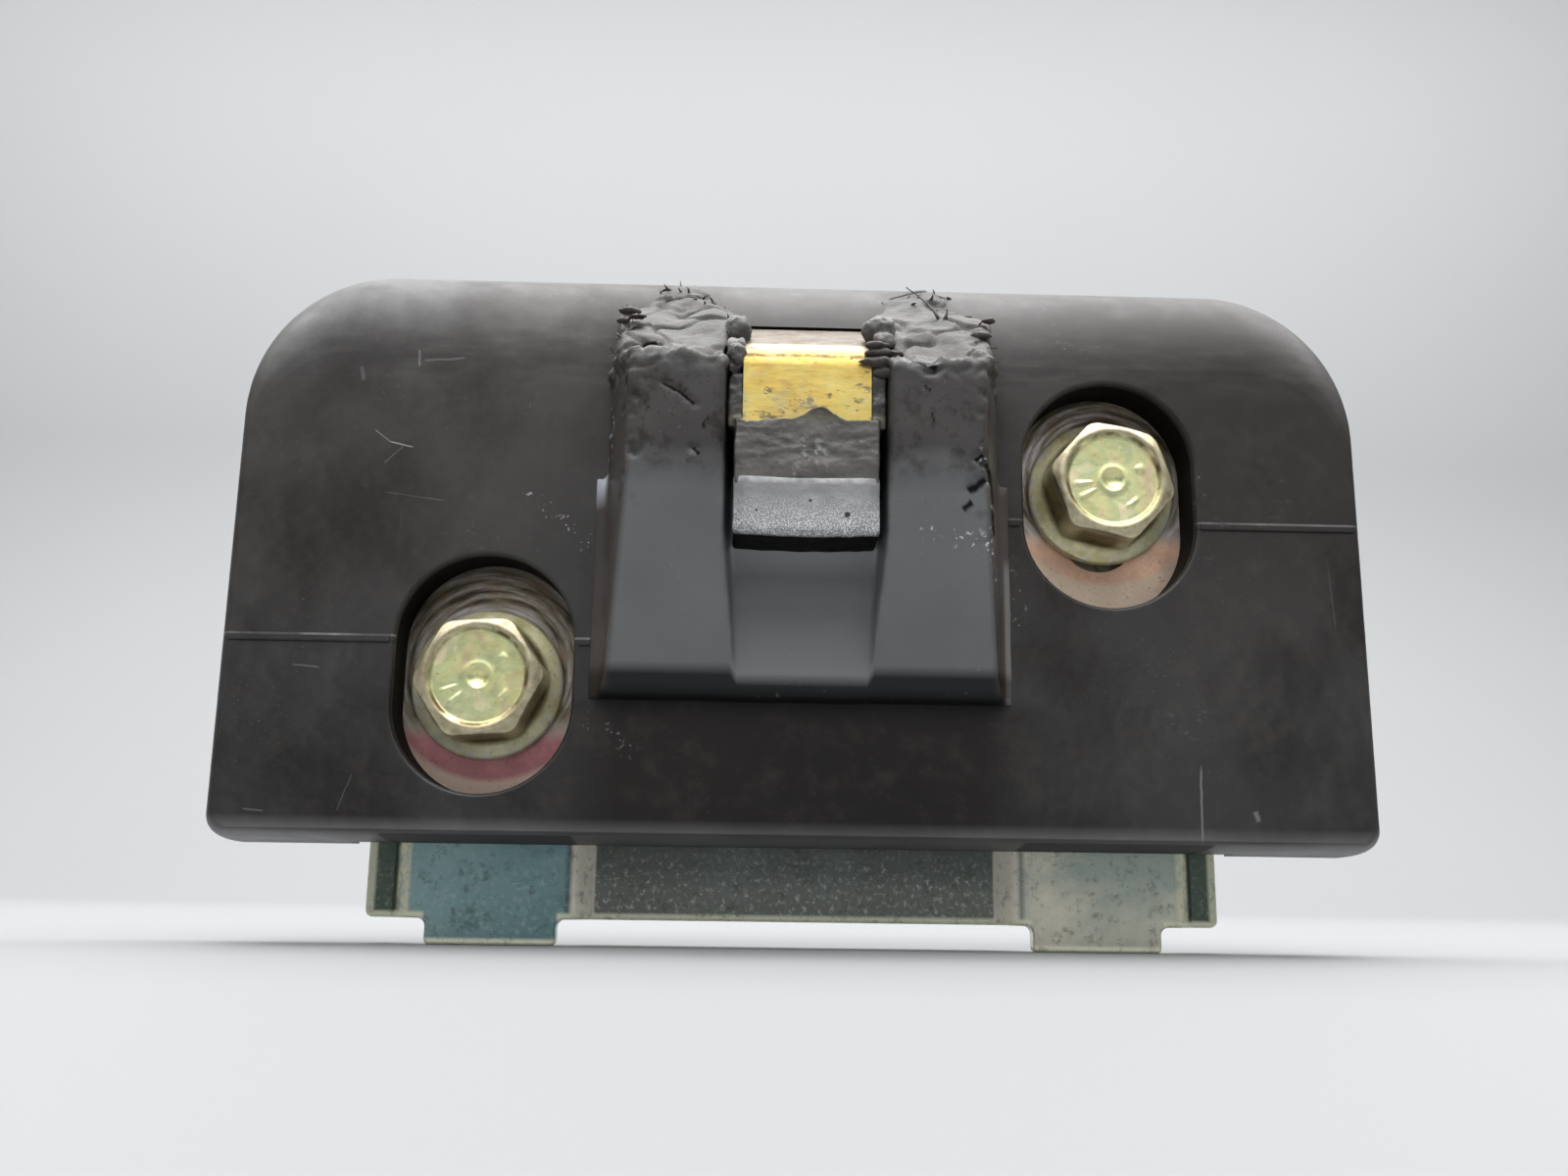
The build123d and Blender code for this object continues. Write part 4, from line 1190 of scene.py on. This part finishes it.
def make_stage():
    """A pale floor that sweeps up into a backdrop well behind the object."""
    near, far, width, bend, height = -1.6, 0.75, 7.0, 0.30, 1.6
    profile = [(near, 0.0), (far - bend, 0.0)]
    steps = 16
    for i in range(1, steps + 1):
        turn = math.radians(90 * i / steps)
        profile.append((far - bend + bend * math.sin(turn), bend - bend * math.cos(turn)))
    profile.append((far, height))
    verts = [(x, y, cad_low.z + z) for y, z in profile for x in (-width, width)]
    faces = [(2 * i, 2 * i + 1, 2 * i + 3, 2 * i + 2) for i in range(len(profile) - 1)]
    mesh = mesh_of("stage_floor", verts, faces)
    mesh.shade_smooth()
    mesh.materials.append(plain_material("stage_pale", (0.215, 0.22, 0.225), 0.7))
    floor = placed("stage_floor", mesh)


def area_light(name, place, aim, size, power):
    data = bpy.data.lights.new(name, "AREA")
    data.shape = "RECTANGLE"
    data.size, data.size_y = size
    data.energy = power
    lamp = placed(name, data)
    lamp.location = place
    lamp.rotation_euler = (Vector(aim) - Vector(place)).to_track_quat("-Z", "Y").to_euler()


def make_world():
    """Bright overhead, dimmer towards the horizon."""
    world = bpy.data.worlds.new("studio")
    world.use_nodes = True
    bpy.context.scene.world = world
    tree = world.node_tree
    coords = tree.nodes.new("ShaderNodeTexCoord")
    split = tree.nodes.new("ShaderNodeSeparateXYZ")
    ramp = tree.nodes.new("ShaderNodeValToRGB")
    ramp.color_ramp.elements[0].position = 0.05
    ramp.color_ramp.elements[0].color = (0.12, 0.12, 0.125, 1)
    ramp.color_ramp.elements[1].position = 0.9
    ramp.color_ramp.elements[1].color = (1.0, 1.0, 1.0, 1)
    tree.links.new(coords.outputs["Generated"], split.inputs[0])
    tree.links.new(split.outputs["Z"], ramp.inputs["Fac"])
    tree.links.new(ramp.outputs["Color"], tree.nodes["Background"].inputs["Color"])
    tree.nodes["Background"].inputs["Strength"].default_value = 0.9


def make_camera():
    """Just below the object and close to it, looking slightly up."""
    yaw, pitch, roll = (math.radians(a) for a in (1.47, 12.2, 0.8))
    forward = Vector((math.sin(yaw) * math.cos(pitch), math.cos(yaw) * math.cos(pitch), math.sin(pitch)))
    data = bpy.data.cameras.new("camera")
    data.lens = 32.6
    data.sensor_width = 36
    data.clip_start = 0.01
    data.clip_end = 20
    camera = placed("camera", data)
    camera.location = (-0.0061, -0.17115, -0.0354)
    level = forward.to_track_quat("-Z", "Y").to_matrix()
    camera.rotation_euler = (level @ Matrix.Rotation(roll, 3, "Z")).to_euler()
    bpy.context.scene.camera = camera


make_stage()
make_world()
area_light("overhead", (0.0, -0.04, 0.66), (0, -0.04, 0), (1.3, 1.2), 19)
area_light("front_glow", (0.0, -0.9, 0.7), (0, 0, 0), (1.0, 0.5), 2.2)
area_light("backdrop_wash", (0.0, 0.15, 0.95), (0, 0.75, 0.35), (2.0, 0.4), 22)
make_camera()

bpy.context.scene.view_settings.view_transform = "Standard"
